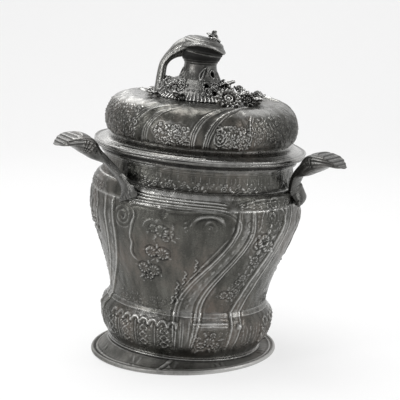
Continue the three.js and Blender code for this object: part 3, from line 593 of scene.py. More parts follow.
# %% [markdown]
# ## The wall's panels
#
# Each wide panel hangs between two ribs like a curtain. Its top edge is a run of fine mouldings
# that turns down into the rib, with a volute curled into each upper corner. Bunches of flowers
# hang in the middle, and small leafy marks line its foot and its right side. The narrow panels
# carry one garland. The front third is drawn once and repeated twice, each time turned on.

# %% The wide panel
def wide_panel(field):
    field.stroke([(-37, 181), (-33, 184.5), (-22, 184), (-8, 183), (4, 184.6), (13, 184), (18.5, 180.5),
                  (22.6, 173), (22.8, 165), (20.5, 156.5)],
                 [(3.4, 1.1, 0.7), (0.5, 1.0, 0.55), (-2.3, 1.0, -0.4)], 0.03)
    field.stroke([(-2, 169), (0, 175.5), (3.5, 179.4), (8, 180.6), (12, 179), (15.2, 174), (16.5, 167)],
                 [(0, 3.0, 1.7), (3.9, 0.9, 0.5), (-3.4, 0.8, -0.7)], 0.25)
    field.scroll((7.8, 167.5), 9.5, 1.6, 60, 1, 0.8, 1.15, lit=90)
    field.stroke([(18, 158), (13.5, 145), (8.6, 132), (2.4, 116), (-3.2, 101), (-7.8, 87), (-10.5, 74)],
                 [(0.6, 0.9, -0.6), (2.4, 0.9, 0.4)], 0.06)
    field.scroll((-41, 169), 14, 2.3, 200, -1, 0.7)
    field.bead((-41, 168.4), 3.4, -1.4)
    field.stroke([(-34.6, 179), (-33.3, 171), (-35, 160), (-36.6, 148), (-36, 140), (-37.3, 131),
                  (-36.4, 125), (-33, 119.5)], [(0, 1.8, 1.3), (2.4, 0.9, -0.4)], 0.1)
    field.posy((-18, 160.5), 7.5, [(2, -1, 1.0, 9), (9, -3, 0.8, 8), (-7, 1, 0.7, 8), (6, -9, 0.6, 7)],
               [(-13, -3, 250), (-2, 10, 20), (13, 5, 90), (-6, -9, 230), (14, -10, 320)], 0.75)
    field.stroke([(-27.4, 159), (-27, 166), (-24, 170.4), (-20, 171)], [(0, 1.0, 0.7)], 0.2)
    field.posy((-20.5, 133), 7, [(-6, 1, 1.0, 9), (7, 0, 1.1, 10)],
               [(-12, 3, 200), (14, -4, 330), (1, 8, 90), (1, -8, 260)], 1.15)
    field.posy((-26.5, 112), 7, [(-6, 1, 1.0, 9), (7, 0, 1.0, 9), (1, -7, 0.7, 7)],
               [(-13, 3, 170), (14, -4, 320), (1, 8, 100), (-9, -8, 220)], 1.1)
    for right, rise in [(-9, -9), (-4.5, -11), (-0.5, -9.5), (3, -12.5), (-12.5, -11), (-7.5, -14.5),
                        (5.5, -7.5)]:
        field.bead((-27 + right * 0.5, 112 + rise), 1.6, 0.9)
    field.stroke([(-20, 154), (-21.5, 147), (-19.5, 142), (-21, 138)], [(0, 1.0, 0.6)])
    field.stroke([(-22, 126), (-24.5, 122), (-23, 118)], [(0, 1.0, 0.7)])
    field.leaf((-17, 179), 11, 10, 270, -0.9)
    field.bead((-19, 185), 1.7, 0.8)
    for x, s in [(-4.2, 173), (-4.6, 167), (-3.8, 163), (-2, 170), (-8, 154)]:
        field.leaf((x, s), 5, 2.6, 80 + 9 * x, 0.6)
    for x, s, lean in [(3, 126, 1), (2.6, 120, -1), (-3, 111, 1), (-4, 104, -1), (-7.5, 97, 1),
                       (-8.5, 91, -1), (-8, 85, 1), (-11, 80, -1)]:
        sway = 0.6 * lean
        field.stroke([(x - sway, s + 4.2), (x + sway, s + 1.5), (x - sway, s - 1.2), (x + sway, s - 4.2)],
                     [(0, 1.0, 1.1), (1.8, 0.8, -0.6)])
        field.leaf((x + 3.5, s - 3), 5, 2.6, 40, 0.5)
    field.sprigs(-56, -11, 70, 79, 4.2, 4, 0.45, 3)


def narrow_panel(field):
    field.scroll((44, 178), 12, 1.9, 120, 1, 0.9, 1.1, lit=60)
    field.stroke([(50, 189), (54.5, 182), (55.5, 172), (54, 162), (51.5, 150), (48, 138)],
                 [(0, 1.6, 0.9), (3.2, 0.8, -0.4)], 0.1)
    field.stroke([(40, 189), (37.5, 182), (37, 172), (35.5, 162)], [(0, 1.5, 0.8), (3, 1.0, 0.4)], 0.2)
    field.posy((43, 150), 8.5, [(-3, 2, 1.0, 9), (6, -5, 0.9, 8), (-9, -2, 0.7, 7)],
               [(-10, 7, 140), (9, 5, 50), (12, -10, 330), (0, 12, 100), (-6, -10, 240), (2, 18, 80)], 1.4)
    field.posy((39, 129), 5.5, [(0, 0, 1.1, 8), (6, -6, 0.8, 7)],
               [(-7, 5, 140), (9, 4, 40), (-5, -8, 230), (2, 9, 90), (2, -13, 270)], 0.8)
    field.posy((35, 108), 5, [(0, 0, 1.0, 8), (-5, -5, 0.8, 7)],
               [(-7, 5, 140), (8, 3, 30), (5, -8, 290), (1, 8, 90)], 0.7)
    field.posy((26.5, 88), 5, [(-5, 0, 1.0, 8), (4, 0, 1.0, 8), (11, 4, 0.7, 7)],
               [(-12, -1, 180), (0, 8, 90), (8, -6, 300)], 1.0)
    field.stroke([(41.5, 141), (40, 136), (40.5, 132)], [(0, 1.0, 0.6)])
    field.stroke([(37, 120), (36, 115), (35.5, 112)], [(0, 1.0, 0.6)])
    field.stroke([(33, 101), (30.5, 96), (28, 93)], [(0, 1.0, 0.6)])
    field.sprigs(31, 55, 158, 186, 6, 5.5, 0.4, 5)
    field.sprigs(24, 40, 78, 100, 7, 5, 0.25, 6)


# %% [markdown]
# The ribs' own chasing comes last. A rib's middle field carries a chain of small leaves, drawn
# along it, so it is laid out by shares of the wall's height. Long use has also left the casting
# a little uneven, which shows in the reflections: a few broad waves, up to half a millimetre
# deep, and many small shallow ones.

# %% The whole wall
def rib_chasing(field):
    for rib in RIBS:
        for share in np.arange(0.06, 0.8, 0.07 if rib["wide"] else 0.1):
            middle, half = rib_place(rib, share)
            level = WAIST_TOP + share * (WALL_TOP - WAIST_TOP)
            shift = -0.1 if rib["wide"] else 0.1
            field.leaf((middle + shift * half, level), 6, 2.6, 62, 0.3)


def dents(field, depth=0.45, fine=0.03):
    """Three broad waves, then many small ones in all directions, a few centimetres long."""
    waves = np.sin(np.radians(field.angle * 3 + field.level * 1.3))
    waves += np.sin(np.radians(field.angle * 5 - 40))
    waves += np.sin(np.radians(field.angle * 8 + field.level * 3.1))
    field.height += depth / 3 * waves
    chance = np.random.default_rng(7)
    for _ in range(26):
        around = int(chance.integers(12, 70))
        upwards = chance.uniform(-0.42, 0.42)
        phase = chance.uniform(0, math.tau)
        field.height += fine * np.sin(np.radians(field.angle * around) + field.level * upwards + phase)


def wall_relief(field):
    for field.turn in THIRDS:
        wide_panel(field)
        narrow_panel(field)
    field.turn = 0
    ribs(field)
    rib_chasing(field)
    dents(field)
    # painted highlights on each narrow panel, and slight painted shade over each wide panel
    for field.turn in THIRDS:
        field.light_and_wear_patch(-18, 30, 60, 60, -0.03)
        field.light_and_wear_patch(54, 14, 70, 60, 0.12)
        field.light_and_wear_patch(38, 14, 60, 60, 0.1)


WALL_LINE = [(88.2, 64.6), (89.2, 68), (90.8, 78.7), (97.8, 103.8), (109.8, 136.1), (117.6, 161.3),
             (118.2, 174.4), (117.9, 184.6), (116.9, 187.4)]
wall = turned(smooth(WALL_LINE), [(115.3, 187.4), (115.3, 160), (103, 128), (92, 100), (86, 64.6)],
              640, 1.0)
piece("wall", wall, "vessel", ["body_wall"], DARK, relief=wall_relief, full=0.8)

# %% [markdown]
# ## Belly, waist and foot
#
# The belly gathers the ribs and ends the wide panels in a row of gadroons, upright lobes under
# small scallops, filled with a chased zigzag. Under each narrow panel lies a framed field with a
# flower. The waist is a smooth band over the soldered joint, which carries the belly's slope on
# into the wall. Each profile runs on a little inside its neighbour, so that no bright edge shows
# where two castings meet.

# %% Gadroons and fields
def gadroons(field):
    for edge in (-50, -35, -20.5, -6.5):
        for side in (-0.9, 1.1):
            field.stroke([(edge + side, 53), (edge + side, 40), (edge + side, 22)], [(0, 1.0, -1.1)], 0.12)
        field.stroke([(edge, 54), (edge, 40), (edge, 22)], [(0, 0.8, 0.4)], 0.12)
    for i in range(8):
        x = -55 + i * 6.6
        field.stroke([(x - 2.9, 50.5), (x - 2.0, 54.4), (x, 55.8), (x + 2.0, 54.4), (x + 2.9, 50.5)],
                     [(0, 2.1, 1.1), (-2.8, 1.5, -0.7)])
    for middle in (-57, -42.5, -28, -13.5):
        field.height += 1.1 * bump(field.off(middle), 7) * bump(field.level - 38, 16)
        for k in range(6):
            s = 27 + k * 4
            lean = 1.7 if k % 2 else -1.7
            field.stroke([(middle - 2.6, s - lean), (middle, s + lean), (middle + 2.6, s - lean)],
                         [(0, 1.1, 0.85), (1.9, 0.8, -0.4)])
        field.sprigs(middle - 5, middle + 5, 25, 50, 4.4, 4.4, 0.5, int(middle) + 100)


def belly_field(field):
    field.stroke([(4, 55.5), (12, 56.4), (20, 56.4), (29, 55.5)],
                 [(0, 1.2, 1.0), (-3.2, 1.0, 0.6), (3, 0.9, -0.4)], 0.05)
    field.stroke([(4.6, 50), (4.6, 40), (4.6, 25)], [(0, 0.8, 0.5)], 0.15)
    field.stroke([(4.6, 50), (15, 50.6), (29, 50)], [(0, 0.8, 0.4)], 0.1)
    field.posy((16, 36), 6.5, [(0, 0, 1.0, 8), (-10, -4, 0.8, 7), (9, -5, 0.8, 7), (4, 8, 0.6, 6)],
               [(-14, 5, 160), (15, 3, 20), (-6, 9, 120), (3, -11, 280), (-14, -12, 220)], 0.95)
    field.sprigs(5, 29, 24, 49, 5.4, 4.8, 0.4, 9)
    for x in (-3.6, -2.2, 1.6, 3.2):
        field.stroke([(x, 60), (x + 0.4, 50), (x + 0.4, 36), (x, 22)], [(0, 0.9, 0.6)], 0.2)
    field.bead((36.5, 52), 4.4, 2.0)
    for i in range(9):
        x = 40 + i * 3.3
        field.stroke([(x, 54), (x + 1, 42), (x + 0.5, 28)], [(0, 1.4, 0.7)], 0.25)
    field.sprigs(40, 68, 30, 52, 6, 5, 0.4, 11)


def belly_relief(field):
    for field.turn in THIRDS:
        gadroons(field)
        belly_field(field)
        # painted highlights on the top of the belly
        field.light_and_wear_patch(17, 15, 46, 7, 0.4)
        field.light_and_wear_patch(-28, 22, 48, 7, 0.3)
    field.turn = 0
    ribs(field)
    dents(field, 0.4)
    field.height *= np.clip((field.level - BELLY_FOOT - 1) / 3, 0, 1)


BELLY_LINE = [(85, 13.7), (91.2, 23.4), (96, 36.2), (97.5, 48.5), (96, 55.5), (91.6, 61.7), (89.8, 63.4)]
belly = turned(smooth(BELLY_LINE), [(86, 63.4), (92.5, 47), (90, 32), (81, 17), (81, 13.7)], 640, 0.9)
piece("belly", belly, "vessel", [], DARK, relief=belly_relief, full=0.9)
ash_floor = turned([(0, 15.2), (60, 15.2), (83, 17)], [(83, 14.2), (0, 14.2)], 96, 8)
piece("ash_floor", ash_floor, "vessel", ["belly_bowl"], DARK)


# %% Waist
def waist_relief(field):
    ribs(field)
    field.height *= 0.8
    field.height += 0.12 * np.sin(np.radians(field.angle * 7) + 0.4)
    # a painted sheen: the whole band is painted a little lighter for the broad highlight on its roll
    field.light_and_wear += 0.1


waist_line = smooth([(90, 60.6), (91.7, 61.6), (91.4, 63), (90.7, 64.6), (89.8, 66.2), (88.4, 67.4)], 6)
piece("waist", turned(waist_line, [(86, 67.4), (86, 60.6)], 640, 0.5), "vessel", ["waist_ring"],
      DARK, relief=waist_relief)


# %% [markdown]
# The foot plate has a double moulding at its edge and sweeps up to the seam below the body,
# highest on the left, where the leaning body stands highest. Shallow leafy lobes are chased on
# it, each a fan of flutes under a raised crease, and none of them lies quite level.

# %% Foot plate
def plate_relief(field):
    out = field.radius - BASE_RADIUS
    for at, spread, petals in [(-34, 8, 5), (-8, 9, 5), (26, 7, 5), (72, 9, 5), (112, 9, 5), (156, 7, 5),
                               (200, 9, 5), (246, 8, 5), (292, 9, 5)]:
        x = field.off(at) / spread
        shell = bump(x, 1.0) * bump(out - 8.5, 7.5)
        field.height += shell * (0.45 + 0.3 * np.cos(x * petals * 2.2 + out * 0.25))
        crease = bump(field.off(at - 4) - out * 0.35, 1.1) * bump(out - 9, 9)
        field.height += 0.6 * crease
    for at in (-12, 108, 228):
        fold = field.off(at) + (out - 8) * 0.55
        field.height += (1.5 * bump(fold, 1.6) - 0.9 * bump(fold - 2.4, 1.2)) * bump(out - 8, 10)
    field.height += 0.25 * np.sin(np.radians(field.angle) * 9 + 1) * bump(out - 10, 9)
    field.height += 0.25 * np.sin(np.radians(field.angle) * 5) * bump(out - 16, 5)
    seam = SEAM_LEVEL - SEAM_RADIUS * math.sin(LEAN) * np.sin(np.radians(field.angle))
    up_to_seam = np.clip((PLATE_FLAT - field.radius) / (PLATE_FLAT - SEAM_RADIUS), 0, 1)
    field.height += np.maximum(seam - PLATE_LEVEL, 0) * up_to_seam ** 1.3
    field.height *= field.level > 2.2
    # the plate is painted lighter overall and brightest on the right, a painted reflection of the white
    # floor; on the left it is darker
    field.light_and_wear += 0.06
    field.light_and_wear_patch(50, 50, 8, 30, 0.5)
    field.light_and_wear_patch(-75, 50, 8, 30, -0.14)


SEAM_LEVEL = 10.2
SEAM_RADIUS = 87
PLATE_FLAT = 101
PLATE_LEVEL = 3.5
plate_line = smooth([(104, 0), (105.8, 1.4), (105.9, 3.4), (105, 4.9), (103.6, 5.1), (102.2, 4.2),
                     (100.8, 4.0), (99.6, 4.6), (98.3, 4.0), (96.6, 3.6), (92, 3.4), (87, 3.5),
                     (80, 3.5)], 8)
plate = turned(plate_line, [(0, 3.8), (0, 0)], 480, 0.6)
piece("foot", plate, "vessel", ["foot_plate"], DULL, LEVEL, plate_relief)

# %% [markdown]
# The collar between the level foot and the leaning body is a wedge: tall on the left and almost
# nothing on the right. It is turned about the leaning axis, then `bisect_plane` cuts it off along
# the foot, and `bridge_loops` closes the cut between its outer and inner edges.

# %% Cutting a turned piece along a plane
def trim(bm, at, normal):
    """Cuts away what lies behind a plane and closes the cut between its two rings."""
    cut = bmesh.ops.bisect_plane(bm, geom=bm.verts[:] + bm.edges[:] + bm.faces[:], plane_co=at,
                                 plane_no=normal, clear_inner=True)
    bmesh.ops.bridge_loops(bm, edges=[e for e in cut["geom_cut"] if isinstance(e, bmesh.types.BMEdge)])
    face_outwards(bm)


collar_line = smooth([(84, 1), (84, 4), (84, 6), (86.6, 7.2), (87.6, 8.6), (86.6, 9.8), (86, 10.4),
                      (87.3, 11.4), (87.4, 12.8), (85.4, 14.1)], 6)
collar = turned(collar_line, [(80, 14.1), (80, 1)], 480, 0.45)
trim(collar, (0, 0, 3.2), (-math.sin(LEAN), 0, math.cos(LEAN)))
piece("collar", collar, "vessel", ["foot_collar"], BRIGHT)

# %% [markdown]
# ## Shoulder, neck and rim
#
# Above the wall come a rounded shoulder, a plain neck with a fine frieze, and the spreading rim
# on which the lid rests. The frieze is worn nearly flat: faint upright lines above, a row of
# beads, and a band of small leafy scrolls below.

# %% Shoulder, neck and rim
def shoulder_relief(field):
    for field.turn in THIRDS:
        for level in (189, 192, 195.2):
            line = [(-37, level + 1.5), (-30, level), (-8, level), (9, level - 0.6), (17, level - 2.6)]
            field.stroke(line, [(0, 0.9, 0.7), (1.5, 0.7, -0.3)], 0.12)
        field.scroll((46, 193), 9, 1.6, 100, 1, 0.45, 0.9)
        field.stroke([(20, 189), (26, 194), (35, 197.4), (46, 198.6), (58, 197), (66, 191)],
                     [(0, 2.4, 0.6), (-3.4, 1.3, 0.3)], 0.25)
        field.sprigs(24, 60, 189, 197, 5, 4.5, 0.4, 15)
        # a painted highlight on the front of the shoulder, repeated three times around
        field.light_and_wear_patch(-8, 36, 13, 12, 0.36)
    field.turn = 0
    dents(field, 0.35)


shoulder_line = smooth([(116.2, 185.4), (117.5, 186.6), (117.9, 188.4), (117.6, 190.2), (117, 192),
                        (116.3, 194), (115.4, 196.4), (114.4, 199.2), (112.5, 201.8), (109.8, 203.9)], 6)
piece("shoulder", turned(shoulder_line, [(103.2, 203.9), (114.4, 185.4)], 640, 0.6), "vessel",
      ["shoulder_ring"], DARK, relief=shoulder_relief)


def neck_relief(field):
    level = field.level
    chance = np.random.default_rng(19)
    for i in range(140):
        x = i * 2.57 - 179
        foot = 210 + chance.uniform(0, 6)
        field.stroke([(x, 221), (x + 0.2, 217), (x, foot)], [(0, 0.8, chance.uniform(0.1, 0.45))], 0.2)
    field.height += 0.35 * bump(level - 223.6, 0.9) + 0.25 * bump(level - 221.6, 0.8)
    for i in range(90):
        x = i * 4 - 179
        field.bead((x, 213.4), 1.3, chance.uniform(0, 0.6))
    for i in range(45):
        x = i * 8 - 177
        strength = chance.uniform(0.2, 0.9)
        field.scroll((x, 207.6), 3.2, 1.4, 90 * i, 1 if i % 2 else -1, strength)
        field.leaf((x + 3.6, 208.6), 5, 2.6, chance.uniform(30, 150), strength)
        field.leaf((x + 5, 205.6), 4.6, 2.2, chance.uniform(-30, 30), strength)
        field.rosette((x + 1, 212), 2.4, 6, x, 0.6 * strength)
    for field.turn in THIRDS:
        field.light_and_wear_patch(10, 26, 6, 7, 0.12)
    field.turn = 0
    dents(field, 0.3)


neck_line = smooth([(109.8, 203.5), (108, 205), (107.2, 207), (107, 212), (106.5, 219), (106.4, 223.5),
                    (106.9, 225.9)], 8)
piece("neck", turned(neck_line, [(103.2, 225.9), (103.2, 203.5)], 640, 0.6), "vessel", ["neck_band"],
      DARK, relief=neck_relief)


def rim_relief(field):
    field.height += 0.22 * np.sin(np.radians(field.angle * 4) + 0.8)
    field.height += 0.12 * np.sin(np.radians(field.angle * 11))
    field.light_and_wear -= 0.14


rim_line = smooth([(107, 225.6), (109.4, 226.2), (110.2, 227.6), (110.3, 229), (109.6, 230),
                   (110.6, 231), (113.4, 232.6), (117.4, 233.7), (118.6, 235), (118.6, 236.4),
                   (117.6, 237)], 6)
piece("rim", turned(rim_line, [(103.2, 237), (103.2, 225.6)], 480, 0.5), "vessel", ["rim_ring"],
      BRIGHT, relief=rim_relief)

# %% [markdown]
# ## The lid
#
# The lid is a cushion on a flat flange. Bands of double ridges rise from its foot and swirl
# towards the knob, slowly at first and then faster, so each band is drawn from one table that
# says how far it has turned at each distance up the dome. Between the front bands lie patches
# chased with flowers, and to their right a fan of fine flutes. The dome is nearly flat at its
# top, so here the level of a mark is its distance up the outside.

# %% The swirling bands
SWIRLS = [(-150, 1, 7, 1), (-40, 1, 6.5, 0.5), (-1.5, 1, 5.4, 1), (96, 1, 6, 2.0), (160, 1, 7, 1)]
TWIST = [(0, 0), (10, 0), (20, 1), (30, 3.5), (38, 7), (44, 11), (49, 15.5), (60, 25), (75, 41), (100, 60)]
SWIRL_SECTION = [(-1.3, 0), (-1.14, -0.5), (-1.04, 0), (-0.96, 0.9), (-0.88, 0.1), (-0.82, 0.2),
                 (-0.74, 1.1), (-0.66, 0.3), (-0.6, 0.3), (-0.52, 1.1), (-0.44, 0.2), (-0.32, -0.7),
                 (0, -1.0), (0.3, -0.7), (0.42, 0.2), (0.5, 1.2), (0.58, 0.3), (0.64, 0.3),
                 (0.72, 1.2), (0.8, 0.2), (0.86, 0.2), (0.94, 1.0), (1.04, -0.1), (1.14, -0.5),
                 (1.3, 0)]


def twist(run):
    return np.interp(run, *zip(*TWIST))


def swirls(field):
    """Adds the bands, which widen a little as they near the knob."""
    fade = np.clip(field.run / 6, 0, 1) * np.clip((86 - field.run) / 20, 0, 1)
    for foot, hand, half, strength in SWIRLS:
        u = turn_between(field.angle, foot + hand * twist(field.run)) / (half * (1 + 0.004 * field.run))
        field.height += across_band(u, SWIRL_SECTION) * fade * strength


# %% The dome's panels
def lid_relief(field):
    swirls(field)
    bands = sorted(foot for foot, _, _, _ in SWIRLS)
    for left, right in zip(bands, bands[1:] + [bands[0] + 360]):
        u = (turn_between(field.angle, left) % 360 - twist(field.run)) / (right - left)
        swell = np.sin(np.pi * np.clip(u, 0, 1)) * np.clip(field.run / 12, 0, 1)
        field.height += 0.9 * swell * np.clip((78 - field.run) / 20, 0, 1)
    field.level = field.run
    field.sprigs(-27, -7, 7, 27, 3.6, 4, 0.85, 21)
    field.sprigs(9, 29, 7, 30, 3.6, 4, 0.85, 22)
    field.sprigs(-80, -42, 6, 42, 4.4, 4.6, 0.6, 23)
    field.scroll((10, 17), 8, 2.2, 40, -1, 0.9, 1.3)
    field.stroke([(7.5, 9), (6.6, 16), (8, 24), (12, 29), (19, 30)], [(0, 1.0, 0.9)], 0.1)
    chance = np.random.default_rng(20)
    for i in range(30):
        x = 29 + i * 1.35
        flute = [(x, 8 + chance.uniform(0, 6)), (x - 1 + 0.14 * i, 22),
                 (x - 6 + 0.33 * i, chance.uniform(32, 44))]
        field.stroke(flute, [(0, 0.75, chance.uniform(0.25, 0.7))], 0.2)
    field.sprigs(29, 70, 12, 44, 5.5, 4.5, 0.5, 24)
    field.stroke([(27, 8), (27.5, 20), (28, 32), (31, 44)], [(0, 1.3, 0.9), (-2.6, 0.9, 0.5)], 0.1)
    for left, right, seed in [(108, 152, 31), (168, 205, 32), (-148, -84, 33), (72, 88, 34)]:
        field.sprigs(left, right, 8, 38, 4.8, 4.8, 0.6, seed)
    for r, up in [(60, 0.35), (54.5, 0.5)]:
        field.height += up * bump(field.radius - r, 1.3) * (field.run > 50)
    field.height += 0.35 * np.sin(np.radians(field.angle * 3 + 40)) * bump(field.run - 34, 34)
    dents(field, 0.2, 0.045)
    # patches of painted light and shade: painted reflections on the upper slopes at left and right, painted
    # shade over the top at the front, and smaller patches painted lighter and darker
    for place in [(-85, 60, 62, 32, 0.45), (80, 60, 62, 32, 0.22), (-6, 30, 52, 22, -0.16),
                  (38, 22, 48, 12, 0.35), (-16, 18, 20, 16, 0.16), (18, 14, 18, 14, 0.1),
                  (62, 34, 20, 28, -0.2), (-60, 26, 16, 22, -0.08)]:
        field.light_and_wear_patch(*place)


DOME_LINE = smooth([(100.5, 247), (104.6, 251.2), (106.2, 257), (107, 265.8), (104.6, 275.1),
                    (98.8, 284.4), (91, 289.3), (82, 290.8), (57, 291.3), (26, 291.3)], 12)
side = DOME_LINE[DOME_LINE[:, 0] > 78]
top = DOME_LINE[DOME_LINE[:, 0] < 78]
dome_inside = [(26, 288.5), (60, 288.4), (88, 286.4), (97, 279), (103.5, 266), (101, 253), (97, 247)]
dome = turned(np.vstack([even(side, 0.85), even(top, 2.2)]), dome_inside, 840, None)
piece("dome", dome, "lid", ["lid_dome"], DARK, relief=lid_relief)


# %% The flange and its skirt
def flange_relief(field):
    wave = 0.3 * np.sin(np.radians(field.angle * 6 + 20)) + 0.2 * np.sin(np.radians(field.angle * 13))
    field.height += wave * bump(field.radius - 118.5, 4)
    raised = np.clip(field.off(-50) / 1.2, 0, 1) * np.clip(4 - field.off(0), 0, 1)
    field.height += 0.7 * raised * bump(field.radius - 112.8, 2.6)
    field.height += 0.08 * np.cos((field.radius - 111) * 2.6) * bump(field.radius - 112, 4)
    for at in (20, 140, 260):
        x = field.off(at) / 16
        field.height += 0.4 * bump(x, 1) * bump(field.radius - 112, 4) * (0.6 + 0.4 * np.cos(x * 12))
    # the front of the flange is painted darker, a painted shade, and both sides get painted reflections
    field.light_and_wear -= 0.16 * bump(field.radius - 110, 7) * (np.abs(field.angle) < 62)
    for at in (-84, 84):
        field.light_and_wear_patch(at, 44, 15, 14, 0.5)


flange_line = smooth([(116.6, 237), (118.2, 237.1), (119.1, 237.9), (119.1, 239.3), (118, 240.1),
                      (116.4, 239.5), (113.5, 240.4), (110.8, 241.5), (108.6, 242.8), (105.6, 244),
                      (103, 245.2), (101, 247.1)], 7)
flange = turned(flange_line, [(98, 247.1), (98, 237)], 480, 0.5)
piece("flange", flange, "lid", ["lid_flange"], BRIGHT, relief=flange_relief)
skirt = turned([(100, 228.7), (101.6, 228.7), (102.4, 230.2), (102.4, 236.9)], [(100, 236.9)], 240, 1)
piece("skirt", skirt, "lid", ["lid_skirt"], DARK)

# %% [markdown]
# ## The knob
#
# The knob is a little pierced chimney. Its base is covered with shell-work and ends below in a
# skirt of 72 flutes under a row of beads. The hood leans to the right, and from its top a bar
# arches over to the left and down to the base, so that one finger lifts the lid.

# %% Piercings
PUNCH_LENGTH = 16
VENTS = [(16, 26, KNOB_BASE_TOP - 5, 6, 5), (26, 35, KNOB_BASE_TOP - 11.5, 8, 4.5),
         (43, 20, KNOB_BASE_TOP + 7, 5, 6)]


def pierce(made, vents):
    """Cuts lozenges (angle, radius, level, width, height) through a wall, three times around."""
    bm = bmesh.new()
    for turn in THIRDS:
        for angle, radius, level, wide, tall in vents:
            hole = bmesh.ops.create_circle(bm, cap_ends=True, segments=12, radius=0.5)["verts"]
            for v in hole:
                v.co = (v.co.x * wide, 0, v.co.y * tall * (1 - 0.35 * abs(v.co.x)))
            grown = bmesh.ops.extrude_face_region(bm, geom=list({f for v in hole for f in v.link_faces}))
            far = [v for v in grown["geom"] if isinstance(v, bmesh.types.BMVert)]
            bmesh.ops.translate(bm, vec=(0, -PUNCH_LENGTH, 0), verts=far)
            aim = Matrix.Rotation(math.radians(angle + turn), 4, "Z")
            place = aim @ Matrix.Translation((0, PUNCH_LENGTH / 2 - radius, level))
            bmesh.ops.transform(bm, matrix=ON_KNOB @ place, verts=hole + far)
    face_outwards(bm)
    punch = in_scene("punch", mesh_from(bm, "punch"))
    cut =made.modifiers.new("vents", "BOOLEAN")
    cut.object = punch
    cut.solver = "EXACT"
    pierced = bpy.data.meshes.new_from_object(made.evaluated_get(bpy.context.evaluated_depsgraph_get()))
    made.modifiers.clear()
    made.data = pierced
    bpy.data.objects.remove(punch)
    print(made.name, "pierced,", len(pierced.polygons), "faces")


# %% The base and the chimney
def knob_relief(field):
    skirt = np.clip((field.radius - 38) / 9, 0, 1) * np.clip((52 - field.radius) / 2, 0, 1)
    sharp = 1 - 2 * np.abs(np.sin(np.radians(field.angle * 36))) ** 0.8
    field.height += 0.9 * skirt * sharp
    field.light_and_wear -= 0.12 * bump(field.radius - 38, 9)
    beads = np.clip(np.cos(np.radians(field.angle * 40)), 0, 1)
    field.height += 0.9 * bump(field.radius - 37, 1.4) * beads
    mound = bump(field.off(-88), 50) * bump(field.radius - 36, 11)
    field.height += 6.5 * mound
    for field.turn in THIRDS:
        for i, (angle, level, size) in enumerate(KNOB_SCROLLS):
            field.scroll((angle, level), size, 1.6, 50 * i, 1 if i % 2 else -1, 1.9, eye=0.22)
            field.bead((angle + 9, level + 2.6), 2.0, 1.5)
            field.leaf((angle - 8, level - 1.5), 7, 4.6, 60 + 50 * i, 1.5)
        for angle, _, level, wide, tall in VENTS[:2]:
            where, x, y = field.flat((angle, level), 9)
            out = np.hypot(x / (wide / 2 + 1.3), y / (tall / 2 + 1.3))
            field.height[where] += 1.3 * bump(out - 1, 0.4)
    field.turn = 0


KNOB_SCROLLS = [(-104, 302, 5.6), (-84, 306.5, 5.2), (-74, 300, 5.4), (-62, 304.5, 5.6), (-50, 299.5, 4.6),
                (-44, 307.5, 4.4), (-34, 303, 4.8)]
BASE_LINE = smooth([(49.4, 291.8), (49.7, 293), (46.6, 295), (42.2, 297.9), (38.8, 300.6),
                    (33.4, 304.4), (28.4, 308), (24.6, 311.6), (22.4, 314)], 8)
base = turned(BASE_LINE, [(20.8, 314), (25.3, 302.9), (35.5, 297), (41, 293.4), (41, 291.8)], 480, 0.6)
made = piece("knob_foot", base, "lid", ["knob_base"], CAST, ON_KNOB, knob_relief, least=22)
pierce(made, VENTS[:2])


def chimney_relief(field):
    for field.turn, proud in ((0, 1.6), (120, 1.5), (240, 0.3)):
        field.stroke([(20, 327.4), (9, 323.4), (-1, 318.6), (0, 314.4), (5, 311.6)],
                     [(0, 1.4, proud)], 0.08)
        field.stroke([(20, 327.4), (14, 322.6), (8, 317.4), (5, 311.6)],
                     [(0, 1.1, 0.8 * proud), (2.4, 1.0, -0.6 * proud)], 0.08)
        where, x, y = field.flat((43, KNOB_BASE_TOP + 7), 8)
        field.height[where] += 0.9 * bump(np.hypot(x / 3.6, y / 4.2) - 1, 0.35)
        field.leaf((64, 317), 9, 4, 60, 0.9)
        field.leaf((-24, 316.5), 8, 3.4, 115, 0.5)
        field.leaf((-44, 317), 9, 4, 70, 0.8)
    field.turn = 0
    # painted shade: the chimney darkens towards its top, under the hood
    field.light_and_wear -= 0.5 * np.clip((field.level - 331) / 5, 0, 1)


CHIMNEY_LINE = smooth([(25.4, 309.8), (24.2, 311.9), (22, 315.2), (20, 319.2), (18.7, 323.6),
                       (18.1, 327.4), (18.2, 329.4), (19, 330.2), (19, 331), (19.6, 332.4), (20.6, 333),
                       (20.7, 333.8), (21.6, 335.6), (22.6, 338), (22.9, 340), (22.9, 350)], 8)
chimney = turned(CHIMNEY_LINE, [(17, 350), (15.4, 326), (17.4, 318), (21, 311.9), (23, 309.8)], 360, 0.6)
trim(chimney, (0, 0, CHIMNEY_TOP - GAP), (-math.sin(HOOD_TILT), 0, -math.cos(HOOD_TILT)))
made = piece("chimney", chimney, "lid", ["knob_chimney"], CAST, ON_KNOB,
             chimney_relief, least=18)
pierce(made, VENTS[2:])

# %% [markdown]
# The hood is turned upright and its lip is drawn down on both sides, more on the left, where the
# loop passes. Then it is tilted onto the chimney, whose flare it carries on. A slow spiral wave
# gives its cap the look of a turban.

# %% The hood
ON_HOOD = ON_KNOB @ Matrix.Translation((0, 0, CHIMNEY_TOP)) @ Matrix.Rotation(HOOD_TILT, 4, "Y")


def hood_relief(field):
    winding = field.run * 1.05 + np.radians(field.angle)
    field.height += 0.3 * np.cos(winding) * bump(field.run - 46, 16)
    field.height += 0.35 * np.sin(np.radians(field.angle * 2 + 50)) * bump(field.run - 40, 16)
    # painted shade: the hood's underside and the lower face of its lip are darkened
    field.light_and_wear -= 0.5 * (field.run < 31)


